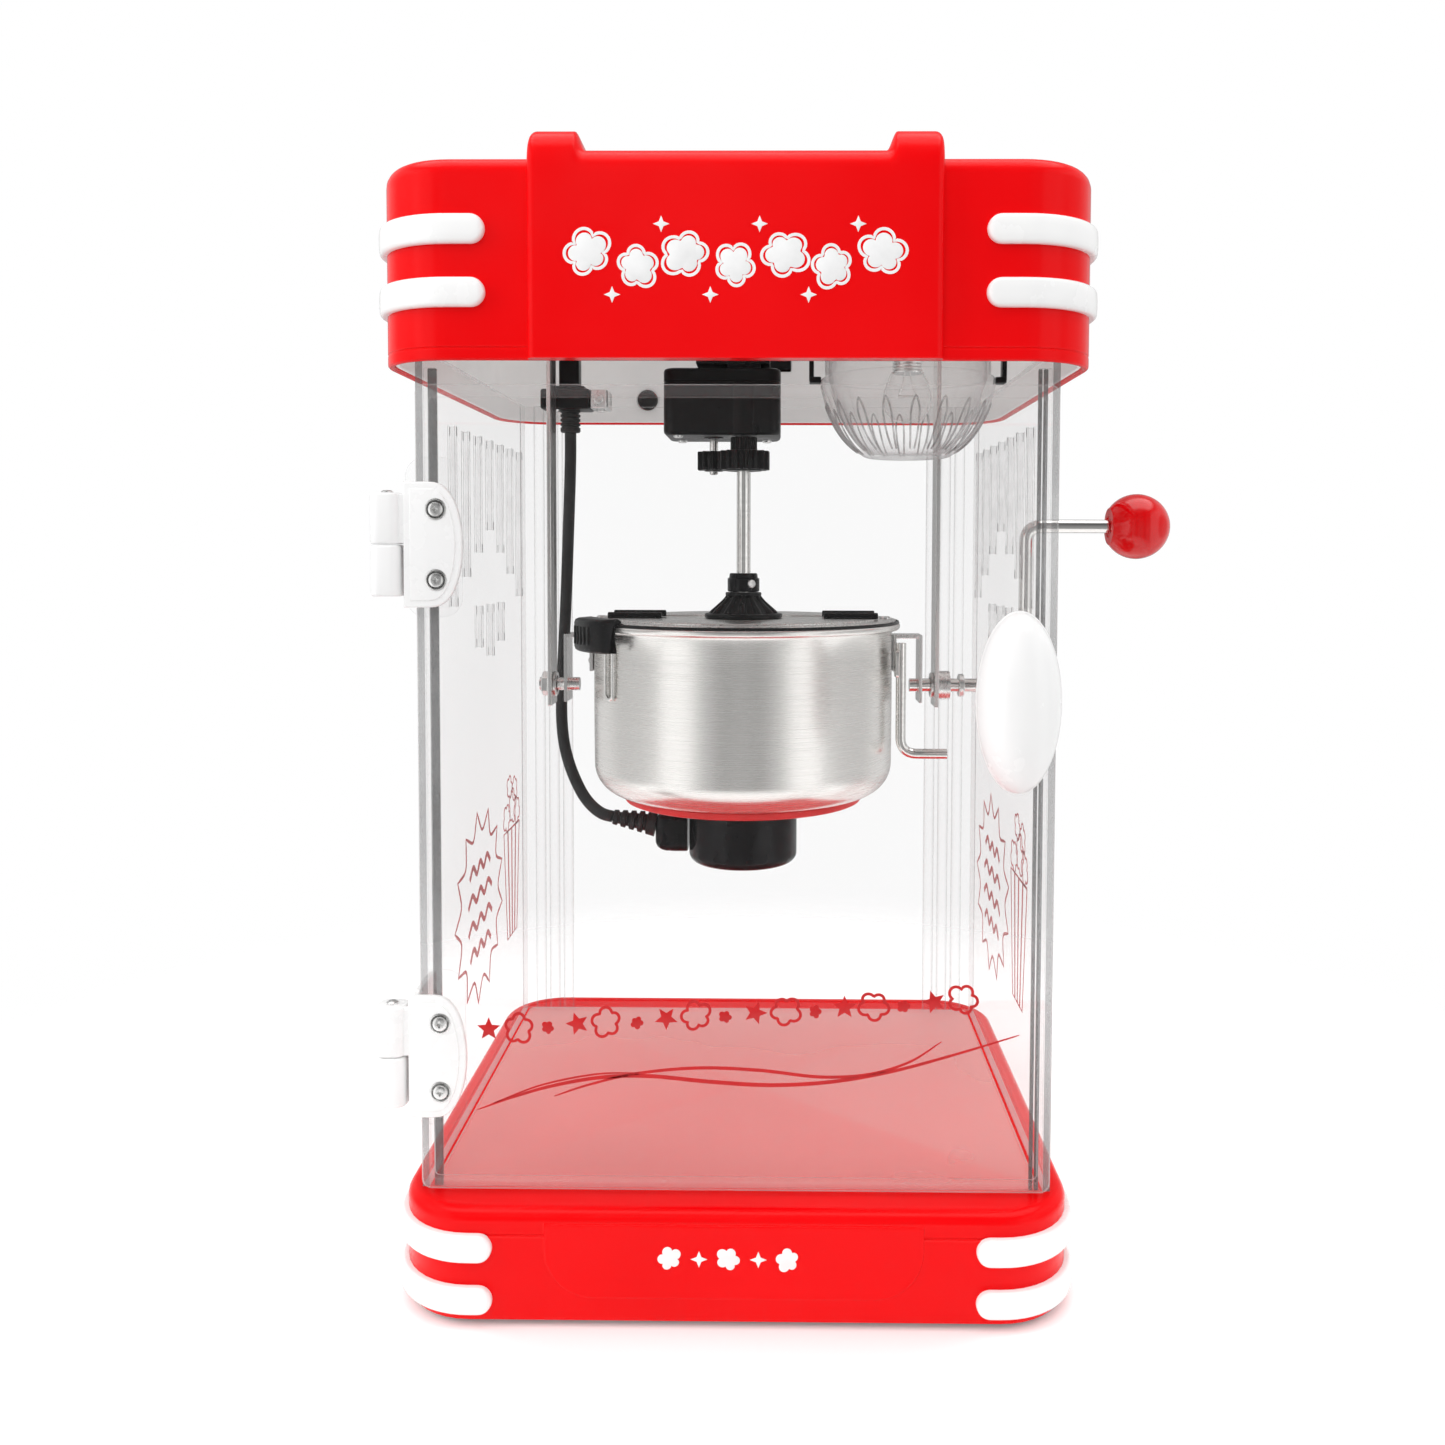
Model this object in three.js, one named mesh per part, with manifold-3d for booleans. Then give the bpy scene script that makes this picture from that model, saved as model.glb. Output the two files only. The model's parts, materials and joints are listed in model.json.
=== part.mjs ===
// Tabletop kettle popcorn maker: red base and head, clear cabinet, tilting kettle with a geared stirrer.
// Millimetres, +Z up, -Y to the front. The origin is the middle of the footprint on the standing surface.

import * as THREE from 'three';
import { mergeVertices } from 'three/addons/utils/BufferGeometryUtils.js';
import Module from 'manifold-3d';

const wasm = await Module();
wasm.setup();

// ---------- driving dimensions ----------

const clearance = 0.3; // between pieces that seat on or in each other
const runningGap = 0.4; // round a pin or shaft that turns

const bodyDepth = 250; // base and head, front to back
const cornerRadius = 32; // base and head corners, seen from above
const shellWall = 2.5;

const cabinetWidth = 263; // across the outer faces of the side panels
const cabinetInset = 19; // side panels stand back from the front of the base
const rearInset = 20; // and the rear panel from its back
const panelWall = 3;
const ribRadius = 3; // ribs of the rear corner posts

const baseHeight = 48;
const baseOverhang = 8.5; // base beyond each side panel
const baseEdge = 5; // rounded upper edge
const frontPanelWidth = 154;
const frontPanelProud = 1;
const undersideHeight = 2; // underside plate above the standing surface
const undersideWall = 2;

const headBottom = 390;
const headHeight = 79.5;
const headOverhang = 13.5;
const headEdge = 7;
const linerWall = 2;
const ceilingDepth = 40; // ceiling above the lower edge of the head

const bandThickness = 3;
const bandHeight = 11.5;
const bandEnd = 98; // front and rear ends of the trim bands, from the middle
const baseBandHeights = [5.7, 27.2]; // lower edges on the base
const headBandHeights = [20.5, 45]; // lower edges above the bottom of the head

const strapWidth = 162; // the centre band of the head
const strapThickness = 6;
const strapTop = 2.5; // its thickness over the top
const barWidth = 20; // the two raised bars on it
const barHeight = 10.5;

const footRadius = 9;
const footFlange = 3;
const footInset = 34;

const doorGap = 2; // between the side panels and the door
const doorWall = 2;
const doorRim = 5; // width of the raised rim
const doorRimDepth = 3;
const doorLift = 1.6; // lower edge above the base
const doorTopGap = 7.4; // upper edge below the head
const handleWidth = 35;
const handleHeight = 75;
const handleDepth = 15;

const hingeOffset = 10.8; // hinge axis outside the side panel
const knuckleRadius = 6.3;
const hingePinRadius = 2;
const hingeLeafWidth = 24;
const hingeLeafHeight = 51;
const hingeLeafWall = 2.6;
const knuckleHeight = 42;
const hingeHeights = [106.5, 317.5]; // middles of the two hinges

const pivotHeight = 250;
const kettleY = -5;
const potRadius = 72.5;
const potWall = 1.2;
const potBelowPivot = 52;
const potHeight = 80;
const potCorner = 15;
const rimOverhang = 4;
const rimHeight = 3;
const hangerWidth = 16;
const hangerWall = 1.6;
const hangerOffset = 13; // hanger plates outside the pot
const strapGap = 6; // between a kettle hanger and its fixed strap
const fixedStrapWall = 2;
const pivotRadius = 3.25;
const lidWall = 1.3;
const bridgeHalfWidth = 9;
const hubRadius = 19;
const hubHeight = 12.5;
const hubTopRadius = 8.8;
const collarRadius = 7.8;
const collarHeight = 9;
const shaftRadius = 3.4;
const heaterRadius = 26.5;
const heaterHeight = 31;
const heaterPlateRadius = 58;
const heaterPlateHeight = 3.4;

const crankReach = 6.5; // crank arm outside the right panel
const crankRise = 78;
const ballRadius = 15.8;
const ballOffset = 60; // middle of the ball outside the right panel

const gearModule = 1.49;
const drivenTeeth = 16;
const pinionTeeth = 10;
const pinionAngle = 141.9; // degrees, from the stirrer to the pinion
const gearThickness = 9.2;
const gearBelowHead = 35; // lower face of the driven gear under the head
const neckRadius = 6.5;
const neckHeight = 6.8;
const pinionShaftRadius = 2.2;

const motorWidth = 57;
const motorDepth = 42;
const motorHeight = 32.2;
const motorLeft = -39; // left face
const motorFront = -12;
const motorCorner = 6;
const motorWall = 2;
const motorClear = 0.6; // above the neck of the driven gear

const lampInset = 57.5; // lamp axis inside the right panel
const lampY = -60;
const lampRadius = 38.5;
const lampDrop = 33; // bottom of the bowl under the head
const lampBottomRadius = 19;
const lampWall = 1.8;
const socketRadius = 12;
const bulbRadius = 11;

const leadRadius = 2.9;
const leadY = 15;
const leadX = -88;
const sleeveRadius = 5;
const sleeveLength = 11;

const switchWidth = 13.4;
const switchHeight = 20;
const switchDepth = 7;
const switchTilt = 7; // degrees each side of level
const switchSpread = 17; // from the middle

const slotWidth = 3;
const slotPitch = 24;
const slotTop = 371;
const slotLengths = [81, 68, 56.5, 45, 56.5, 68, 81];
const shortSlotTop = 288;
const shortSlotLengths = [20, 26, 20];

const frontPanelBottom = 12.4; // lower edge of the panel moulded on the base, above the surface
const frontPanelCorner = 20;
const footLip = 2.5; // flange beyond the foot
const trayWall = 2;
const trayInset = 2; // side edges of the tray in from the panels
const rockerPinch = 1.5;
const rockerDish = 2;
const glandFlange = 3;
const glandFlangeWall = 2.4;
const handleInset = 16.6; // centre of the door handle in from the cabinet's side
const handleRise = 4; // and above the pivot
const leafOverlap = 3.3; // hinge leaf beyond the cabinet's side
const sideLeafDepth = 24;
const ventShift = 20.5; // vent slots behind the middle of the panel

const gripAngle = 207; // degrees round the pot
const gripSpread = 0.17; // radians each way
const gripReach = 9;
const gripDrop = 12;
const gripHeight = 3.4;
const lidOverhang = 2; // lid beyond the pot's wall
const hubNotch = 2.2; // gap in the lid flaps round the stirrer's hub
const hangerLeg = 18;
const hangerReach = 8; // plate below the pivot
const heaterPlateWall = 1.2;
const elementInner = 38;
const elementOuter = 44;
const housingEdge = 4;
const stopRodOut = 2.8; // stop rod out from the pot's wall
const stopRodForward = 22;
const stopRodRise = 21.5; // its bend above the bottom of the pot
const stopRodReach = 22;
const stopRodRadius = 2.4;
const bladeGap = 1.3; // stirring bar above the bottom of the pot
const bladeHeight = 3;
const bladeTip = 14;

const bearingRadius = 8.5;
const canRadius = 16;
const canHeight = 22;
const mountNeck = [-8, 8, -5, 17]; // left, right, front and back of the kettle's axis
const mountFlange = [-23, 12.6, -6, 26];
const mountPost = [-16, 8, 0, 22];
const bowlStep = 2.5;
const bowlShoulder = 9;
const socketHeight = 24;
const bulbRise = 15;
const bulbWaist = 0.6;

const strainLeft = 13.8;
const strainRight = 20;
const strainHalfDepth = 9;
const strainHeight = 10;
const strainPost = 5;
const plugDrop = 72.5; // kettle plug below the pivot
const plugLength = 16;
const plugHalf = 9.5;
const bootEnd = 6.4;
const bootStart = 3.8;

// ---------- heights and places that follow ----------

const baseWidth = cabinetWidth + 2 * baseOverhang;
const headWidth = cabinetWidth + 2 * headOverhang;
const headTop = headBottom + headHeight;
const ceiling = headBottom + ceilingDepth;
const front = -bodyDepth / 2;
const back = bodyDepth / 2;
const panelFront = front + cabinetInset;
const panelBack = back - rearInset;
const panelBottom = baseHeight + clearance;
const panelTop = headBottom + 8;
const doorBack = panelFront - doorGap;
const doorFront = doorBack - doorRimDepth;
const hingeX = -cabinetWidth / 2 - hingeOffset;
const hingeY = doorFront + doorRimDepth / 2;
const potBottom = pivotHeight - potBelowPivot;
const potTop = potBottom + potHeight;
const rimTop = potTop + rimHeight;
const lidBottom = rimTop + clearance;
const lidTop = lidBottom + lidWall;
const hangerX = potRadius + hangerOffset;
const fixedStrapX = hangerX + hangerWall + strapGap;
const gearBottom = headBottom - gearBelowHead;
const gearTop = gearBottom + gearThickness;
const neckTop = gearTop + neckHeight;
const motorBottom = neckTop + motorClear;
const motorTop = motorBottom + motorHeight;
const gearDistance = gearModule * (drivenTeeth + pinionTeeth) / 2;
const pinionX = gearDistance * Math.cos(THREE.MathUtils.degToRad(pinionAngle));
const pinionY = kettleY + gearDistance * Math.sin(THREE.MathUtils.degToRad(pinionAngle));
const lampX = cabinetWidth / 2 - lampInset;

// ---------- materials ----------

function finish(color, roughness, metalness = 0, opacity = 1) {
  return new THREE.MeshStandardMaterial({ color, roughness, metalness, opacity, transparent: opacity < 1 });
}

const redGloss = finish(0xe00008, 0.22);
const whiteGloss = finish(0xf4f4f4, 0.3);
const linerPale = finish(0xdedede, 0.5);
const clearPlastic = finish(0xf2f5f6, 0.06, 0, 0.25);
const blackPlastic = finish(0x151515, 0.45);
const rubber = finish(0x222222, 0.85);
const steel = finish(0xc9c6c0, 0.3, 1);
const brushed = finish(0xbdb9b2, 0.42, 1);
const glass = finish(0xf6f8f8, 0.04, 0, 0.3);

// ---------- solids ----------

function toSolid(geometry) {
  const bare = geometry.index ? geometry.toNonIndexed() : geometry.clone();
  bare.deleteAttribute('normal');
  bare.deleteAttribute('uv');
  const merged = mergeVertices(bare, 1e-4);
  const kept = [];
  const index = merged.index.array;
  for (let i = 0; i < index.length; i += 3) {
    const [a, b, c] = [index[i], index[i + 1], index[i + 2]];
    if (a !== b && b !== c && c !== a) kept.push(a, b, c);
  }
  const mesh = new wasm.Mesh({
    numProp: 3,
    vertProperties: new Float32Array(merged.attributes.position.array),
    triVerts: new Uint32Array(kept),
  });
  return new wasm.Manifold(mesh);
}

function toGeometry(solid) {
  const mesh = solid.getMesh();
  const geometry = new THREE.BufferGeometry();
  geometry.setAttribute('position', new THREE.BufferAttribute(new Float32Array(mesh.vertProperties), 3));
  geometry.setIndex(new THREE.BufferAttribute(new Uint32Array(mesh.triVerts), 1));
  geometry.computeVertexNormals();
  return geometry;
}

function joined(solids) {
  return solids.reduce((whole, piece) => whole.add(piece));
}

function cutFrom(solid, tools) {
  return tools.reduce((left, tool) => left.subtract(tool), solid);
}

// A box from its low corner to its high corner.
function box(low, high) {
  const size = high.map((value, i) => value - low[i]);
  const geometry = new THREE.BoxGeometry(...size);
  geometry.translate(...low.map((value, i) => value + size[i] / 2));
  return toSolid(geometry);
}

function roundedRect(width, depth, radius) {
  const shape = new THREE.Shape();
  const x = width / 2 - radius;
  const y = depth / 2 - radius;
  shape.absarc(x, y, radius, 0, Math.PI / 2, false);
  shape.absarc(-x, y, radius, Math.PI / 2, Math.PI, false);
  shape.absarc(-x, -y, radius, Math.PI, 1.5 * Math.PI, false);
  shape.absarc(x, -y, radius, 1.5 * Math.PI, 2 * Math.PI, false);
  shape.closePath();
  return shape;
}

// A shape in XY, raised from one height to another.
function slab(shape, low, high, curveSegments = 4) {
  const geometry = new THREE.ExtrudeGeometry(shape, { depth: high - low, bevelEnabled: false, curveSegments });
  geometry.translate(0, 0, low);
  return toSolid(geometry);
}

// A shape in YZ, run along X.
function alongX(shape, left, right, curveSegments = 4) {
  const geometry = new THREE.ExtrudeGeometry(shape, { depth: right - left, bevelEnabled: false, curveSegments });
  geometry.applyMatrix4(new THREE.Matrix4().makeBasis(
    new THREE.Vector3(0, 1, 0), new THREE.Vector3(0, 0, 1), new THREE.Vector3(1, 0, 0)));
  geometry.translate(left, 0, 0);
  return toSolid(geometry);
}

// A shape in XZ, run along Y.
function alongY(shape, low, high, curveSegments = 4) {
  const geometry = new THREE.ExtrudeGeometry(shape, { depth: high - low, bevelEnabled: false, curveSegments });
  geometry.applyMatrix4(new THREE.Matrix4().makeBasis(
    new THREE.Vector3(1, 0, 0), new THREE.Vector3(0, 0, 1), new THREE.Vector3(0, -1, 0)));
  geometry.translate(0, high, 0);
  return toSolid(geometry);
}

// A rounded block whose upper edge alone is rounded.
function roundedBlock(width, depth, radius, low, high, edge) {
  const geometry = new THREE.ExtrudeGeometry(roundedRect(width, depth, radius), {
    depth: high - low, bevelEnabled: true, bevelThickness: edge, bevelSize: edge, bevelOffset: -edge,
    bevelSegments: 3, curveSegments: 4,
  });
  geometry.translate(0, 0, low - edge);
  const reach = Math.max(width, depth);
  return toSolid(geometry).subtract(box([-reach, -reach, low - 2 * edge - 1], [reach, reach, low]));
}

// A profile of [radius, height] points turned about a vertical axis.
function turned(profile, x = 0, y = 0, segments = 32) {
  const points = profile.map(([r, z]) => new THREE.Vector2(r, z));
  const geometry = new THREE.LatheGeometry(points, segments);
  geometry.rotateX(Math.PI / 2);
  geometry.translate(x, y, 0);
  const solid = toSolid(geometry);
  return solid;
}

function cylinderUp(radius, low, high, x, y, sides = 24) {
  const geometry = new THREE.CylinderGeometry(radius, radius, high - low, sides);
  geometry.rotateX(Math.PI / 2);
  geometry.translate(x, y, (low + high) / 2);
  return toSolid(geometry);
}

function cylinderAcross(radius, left, right, y, z, sides = 16) {
  const geometry = new THREE.CylinderGeometry(radius, radius, right - left, sides);
  geometry.rotateZ(-Math.PI / 2);
  geometry.translate((left + right) / 2, y, z);
  return toSolid(geometry);
}

// A round rod through a list of corner points.
function bentRod(corners, radius, sides = 12) {
  const pieces = [];
  for (let i = 0; i + 1 < corners.length; i += 1) {
    const from = new THREE.Vector3(...corners[i]);
    const to = new THREE.Vector3(...corners[i + 1]);
    const geometry = new THREE.CylinderGeometry(radius, radius, from.distanceTo(to), sides);
    const turn = new THREE.Quaternion().setFromUnitVectors(
      new THREE.Vector3(0, 1, 0), to.clone().sub(from).normalize());
    geometry.applyQuaternion(turn);
    geometry.translate(...from.clone().add(to).multiplyScalar(0.5).toArray());
    pieces.push(toSolid(geometry));
    if (i > 0) {
      const joint = new THREE.SphereGeometry(radius, sides, sides / 2);
      joint.translate(...corners[i]);
      pieces.push(toSolid(joint));
    }
  }
  return joined(pieces);
}

const machine = new THREE.Group();

function addPart(name, solid, material) {
  const mesh = new THREE.Mesh(toGeometry(solid), material);
  mesh.name = name;
  machine.add(mesh);
}

const sides = [['left', -1], ['right', 1]];

// ---------- base ----------

function footPlaces() {
  const x = baseWidth / 2 - footInset;
  const y = bodyDepth / 2 - footInset;
  return [['front_left', -x, -y], ['front_right', x, -y], ['rear_left', -x, y], ['rear_right', x, y]];
}

function baseShell() {
  const inner = roundedBlock(baseWidth - 2 * shellWall, bodyDepth - 2 * shellWall, cornerRadius - shellWall,
    undersideHeight - 1, baseHeight - shellWall, baseEdge - shellWall);
  const outer = roundedBlock(baseWidth, bodyDepth, cornerRadius, undersideHeight, baseHeight, baseEdge);
  const postBottom = undersideHeight + undersideWall + clearance + footFlange + clearance;
  const posts = footPlaces().map(([, x, y]) =>
    cylinderUp(footRadius * 0.7, postBottom, baseHeight - shellWall / 2, x, y, 12));
  return joined([outer.subtract(inner), baseFrontPanel(), ...posts]);
}

function undersidePlate() {
  const gap = shellWall + clearance;
  const plate = slab(roundedRect(baseWidth - 2 * gap, bodyDepth - 2 * gap, cornerRadius - gap),
    undersideHeight, undersideHeight + undersideWall);
  return cutFrom(plate, footPlaces().map(([, x, y]) =>
    cylinderUp(footRadius + clearance, 0, undersideHeight + undersideWall + 1, x, y, 20)));
}

function foot(x, y) {
  const step = undersideHeight + undersideWall + clearance;
  const lip = footRadius + footLip;
  return turned([[0, 0], [footRadius, 0], [footRadius, step], [lip, step], [lip, step + footFlange],
    [0, step + footFlange]], x, y, 20);
}

// The shallow raised panel moulded on the front.
function baseFrontPanel() {
  const halfWidth = frontPanelWidth / 2;
  const bottom = frontPanelBottom;
  const corner = frontPanelCorner;
  const shape = new THREE.Shape();
  shape.moveTo(-halfWidth, baseHeight - baseEdge);
  shape.lineTo(-halfWidth, bottom + corner);
  shape.absarc(-halfWidth + corner, bottom + corner, corner, Math.PI, 1.5 * Math.PI, false);
  shape.absarc(halfWidth - corner, bottom + corner, corner, 1.5 * Math.PI, 2 * Math.PI, false);
  shape.lineTo(halfWidth, baseHeight - baseEdge);
  shape.closePath();
  return alongY(shape, front - frontPanelProud, front + shellWall / 2);
}

function floorTray() {
  const halfWidth = cabinetWidth / 2 - panelWall - trayInset;
  const low = [-halfWidth, panelFront, panelBottom];
  return box(low, [halfWidth, panelBack - panelWall - ribRadius - clearance, panelBottom + trayWall]);
}

// A trim band round one end of a rounded body, with round ends on the front and back faces.
function trimBand(side, width, low) {
  const gap = clearance;
  const grown = gap + bandThickness;
  const high = low + bandHeight;
  const ring = slab(roundedRect(width + 2 * grown, bodyDepth + 2 * grown, cornerRadius + grown), low, high)
    .subtract(slab(roundedRect(width + 2 * gap, bodyDepth + 2 * gap, cornerRadius + gap), low - 1, high + 1));
  const end = bandHeight / 2;
  const shape = new THREE.Shape();
  shape.absarc(bandEnd + end, low + end, end, Math.PI / 2, 1.5 * Math.PI, false);
  shape.lineTo(width, low);
  shape.lineTo(width, high);
  shape.closePath();
  const keep = alongY(shape, -bodyDepth, bodyDepth);
  const right = ring.intersect(keep);
  return side > 0 ? right : right.mirror([1, 0, 0]);
}

function addTrimBands(prefix, width, heights, offset) {
  for (const [name, side] of sides) {
    addPart(`${prefix}_band_${name}_lower`, trimBand(side, width, offset + heights[0]), whiteGloss);
    addPart(`${prefix}_band_${name}_upper`, trimBand(side, width, offset + heights[1]), whiteGloss);
  }
}

addPart('base_shell', baseShell(), redGloss);
addPart('base_bottom_plate', undersidePlate(), blackPlastic);
addPart('floor_tray', floorTray(), clearPlastic);
for (const [name, x, y] of footPlaces()) addPart(`foot_${name}`, foot(x, y), rubber);
addTrimBands('base', baseWidth, baseBandHeights, 0);

// ---------- head ----------

const switchHeightUp = headBottom + headHeight * 0.52;
const glandX = -60;
const glandZ = headBottom + 14;
const glandRadius = 5.6;
const mainsRadius = 3.6;

function switchHoles() {
  const x = switchWidth / 2 + clearance;
  const z = switchHeight / 2 + 2 * clearance;
  return sides.map(([, side]) => box(
    [side * switchSpread - x, back - shellWall / 2 - switchDepth, switchHeightUp - z],
    [side * switchSpread + x, back + 1, switchHeightUp + z]));
}

function glandHole() {
  const hole = new THREE.CylinderGeometry(glandRadius + clearance, glandRadius + clearance, 20, 20);
  hole.translate(glandX, back - shellWall, glandZ);
  return toSolid(hole);
}

function headShell() {
  const outer = roundedBlock(headWidth, bodyDepth, cornerRadius, headBottom, headTop, headEdge);
  const inner = roundedBlock(headWidth - 2 * shellWall, bodyDepth - 2 * shellWall, cornerRadius - shellWall,
    headBottom - 1, headTop - shellWall, headEdge - shellWall);
  return cutFrom(outer.subtract(inner), [...switchHoles(), glandHole()]);
}

function headLiner() {
  const outerGap = shellWall + clearance;
  const innerGap = outerGap + linerWall;
  const low = headBottom + 1;
  const outer = slab(roundedRect(headWidth - 2 * outerGap, bodyDepth - 2 * outerGap, cornerRadius - outerGap),
    low, ceiling + linerWall);
  const inner = slab(roundedRect(headWidth - 2 * innerGap, bodyDepth - 2 * innerGap, cornerRadius - innerGap),
    low - 1, ceiling);
  return cutFrom(outer.subtract(inner), [...switchHoles(), glandHole()]);
}

// Front, top and rear outline of the centre band, as seen from the side.
function strapOutline(thickness, top, edge) {
  const frontFace = front - thickness;
  const rearFace = back + clearance + strapTop;
  const shape = new THREE.Shape();
  shape.moveTo(frontFace, headBottom);
  shape.lineTo(frontFace, top - edge);
  shape.absarc(frontFace + edge, top - edge, edge, Math.PI, Math.PI / 2, true);
  shape.lineTo(rearFace - edge, top);
  shape.absarc(rearFace - edge, top - edge, edge, Math.PI / 2, 0, true);
  shape.lineTo(rearFace, headTop - 2 * headEdge);
  shape.lineTo(0, headTop - 2 * headEdge);
  shape.lineTo(0, headBottom);
  shape.closePath();
  return shape;
}

function headCenterBand() {
  const half = strapWidth / 2;
  const band = alongX(strapOutline(strapThickness, headTop + strapTop, headEdge), -half, half);
  const bars = sides.map(([, side]) => {
    const inner = side * (half - barWidth);
    const outer = side * half;
    return alongX(strapOutline(strapThickness, headTop + barHeight, headEdge),
      Math.min(inner, outer), Math.max(inner, outer));
  });
  const shell = roundedBlock(headWidth + 2 * clearance, bodyDepth + 2 * clearance, cornerRadius,
    headBottom - 1, headTop + clearance, headEdge);
  return joined([band, ...bars]).subtract(shell);
}

function rocker(side) {
  const shape = new THREE.Shape();
  const half = switchHeight / 2;
  shape.moveTo(-switchDepth / 2, -half);
  shape.lineTo(switchDepth / 2 - rockerPinch, -half);
  shape.lineTo(switchDepth / 2 - rockerDish, 0);
  shape.lineTo(switchDepth / 2 - rockerPinch, half);
  shape.lineTo(-switchDepth / 2, half);
  shape.closePath();
  const x = side * switchSpread;
  const flat = alongX(shape, -switchWidth / 2, switchWidth / 2);
  return flat.rotate([-switchTilt, 0, 0]).translate([x, back - shellWall / 2, switchHeightUp]);
}

function mainsGland() {
  const tube = new THREE.CylinderGeometry(glandRadius, glandRadius, shellWall + linerWall + 6, 20);
  tube.translate(glandX, back - (shellWall + linerWall) / 2, glandZ);
  const flange = new THREE.CylinderGeometry(glandRadius + glandFlange, glandRadius + glandFlange,
    glandFlangeWall, 20);
  flange.translate(glandX, back + clearance + glandFlangeWall / 2, glandZ);
  const bore = new THREE.CylinderGeometry(mainsRadius, mainsRadius, 40, 12);
  bore.translate(glandX, back, glandZ);
  return joined([toSolid(tube), toSolid(flange)]).subtract(toSolid(bore));
}

addPart('head_shell', headShell(), redGloss);
addPart('head_liner', headLiner(), linerPale);
addPart('head_center_band', headCenterBand(), redGloss);
addTrimBands('head', headWidth, headBandHeights, headBottom);
addPart('heat_switch', rocker(-1), blackPlastic);
addPart('drive_switch', rocker(1), blackPlastic);
addPart('mains_gland', mainsGland(), blackPlastic);

// ---------- cabinet ----------

function ventSlots(outerX, side) {
  const middle = (panelFront + panelBack) / 2 + ventShift;
  const inside = Math.min(outerX, outerX - side * panelWall) - 1;
  const outside = Math.max(outerX, outerX - side * panelWall) + 1;
  const slot = (offset, top, length) => box(
    [inside, middle + offset - slotWidth / 2, top - length], [outside, middle + offset + slotWidth / 2, top]);
  const middleSlot = (slotLengths.length - 1) / 2;
  const middleShort = (shortSlotLengths.length - 1) / 2;
  return [
    ...slotLengths.map((length, i) => slot((i - middleSlot) * slotPitch, slotTop, length)),
    ...shortSlotLengths.map((length, i) => slot((i - middleShort) * slotPitch, shortSlotTop, length)),
  ];
}

function sidePanel(side) {
  const outerX = side * cabinetWidth / 2;
  const innerX = outerX - side * panelWall;
  const panel = box([Math.min(outerX, innerX), panelFront, panelBottom],
    [Math.max(outerX, innerX), panelBack - panelWall - clearance, panelTop]);
  const cuts = ventSlots(outerX, side);
  if (side > 0) cuts.push(cylinderAcross(pivotRadius + 3, innerX - 1, outerX + 1, kettleY, pivotHeight));
  return cutFrom(panel, cuts);
}

// The rear panel with its ribbed corner posts, one clear moulding.
function rearPanel() {
  const half = cabinetWidth / 2;
  const sheet = box([-half, panelBack - panelWall, panelBottom], [half, panelBack, panelTop]);
  const ribs = [];
  for (const [, side] of sides) {
    for (const offset of [8, 16, 24]) {
      ribs.push(cylinderUp(ribRadius, panelBottom, panelTop, side * (half - panelWall - offset),
        panelBack - panelWall, 10));
    }
  }
  return joined([sheet, ...ribs]);
}

for (const [name, side] of sides) addPart(`side_panel_${name}`, sidePanel(side), clearPlastic);
addPart('rear_panel', rearPanel(), clearPlastic);

// ---------- door and hinges ----------

const doorHalf = cabinetWidth / 2 - 1;
const doorBottom = baseHeight + doorLift;
const doorTop = headBottom - doorTopGap;

function doorPanel() {
  const plate = box([-doorHalf, doorFront, doorBottom], [doorHalf, doorBack, doorTop]);
  const hollow = box([-doorHalf + doorRim, doorFront + doorWall, doorBottom + doorRim],
    [doorHalf - doorRim, doorBack + 1, doorTop - doorRim]);
  return plate.subtract(hollow);
}

function doorHandle() {
  const dome = new THREE.SphereGeometry(1, 24, 16);
  dome.scale(handleWidth / 2, handleDepth, handleHeight / 2);
  const face = doorFront - clearance;
  dome.translate(cabinetWidth / 2 - handleInset, face, pivotHeight + handleRise);
  const reach = handleHeight;
  const x = cabinetWidth / 2;
  return toSolid(dome).subtract(
    box([x - reach, face, pivotHeight - reach], [x + reach, face + handleDepth + 1, pivotHeight + reach]));
}

// The door half of a hinge: the upper knuckle and a plate with a bowed edge on the door.
function hingeDoorLeaf(middle) {
  const half = hingeLeafHeight / 2;
  const left = -cabinetWidth / 2 - leafOverlap;
  const faceY = doorFront - clearance;
  const shape = new THREE.Shape();
  shape.moveTo(left, middle - half);
  shape.lineTo(left + hingeLeafWidth * 0.6, middle - half);
  shape.quadraticCurveTo(left + hingeLeafWidth * 1.4, middle, left + hingeLeafWidth * 0.6, middle + half);
  shape.lineTo(left, middle + half);
  shape.closePath();
  const plate = alongY(shape, faceY - hingeLeafWall, faceY, 10);
  const top = middle + knuckleHeight / 2;
  const low = middle + clearance / 2;
  const barrel = cylinderUp(knuckleRadius, low, top, hingeX, hingeY, 20);
  const web = box([hingeX, faceY - hingeLeafWall, low], [left + 1, faceY, top]);
  const bore = cylinderUp(hingePinRadius + runningGap, low - 1, top + 1, hingeX, hingeY, 16);
  return joined([plate, barrel, web]).subtract(bore);
}

// The cabinet half: the lower knuckle with the pin, and a plate on the side panel.
function hingeSideLeaf(middle) {
  const half = hingeLeafHeight / 2;
  const face = -cabinetWidth / 2 - clearance;
  const low = middle - knuckleHeight / 2;
  const high = middle - clearance / 2;
  const plate = box([face - hingeLeafWall, panelFront + 2, middle - half],
    [face, panelFront + 2 + sideLeafDepth, middle + half]);
  const barrel = cylinderUp(knuckleRadius, low, high, hingeX, hingeY, 20);
  const web = box([hingeX, hingeY + 1, low], [face - hingeLeafWall + 1, hingeY + knuckleRadius - 0.6, high]);
  const arm = box([face - hingeLeafWall - 0.5, hingeY + 1, low], [face - hingeLeafWall + 1, panelFront + 4, high]);
  const pin = cylinderUp(hingePinRadius, low, middle + knuckleHeight / 2, hingeX, hingeY, 16);
  return joined([plate, barrel, web, arm, pin]);
}

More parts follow.
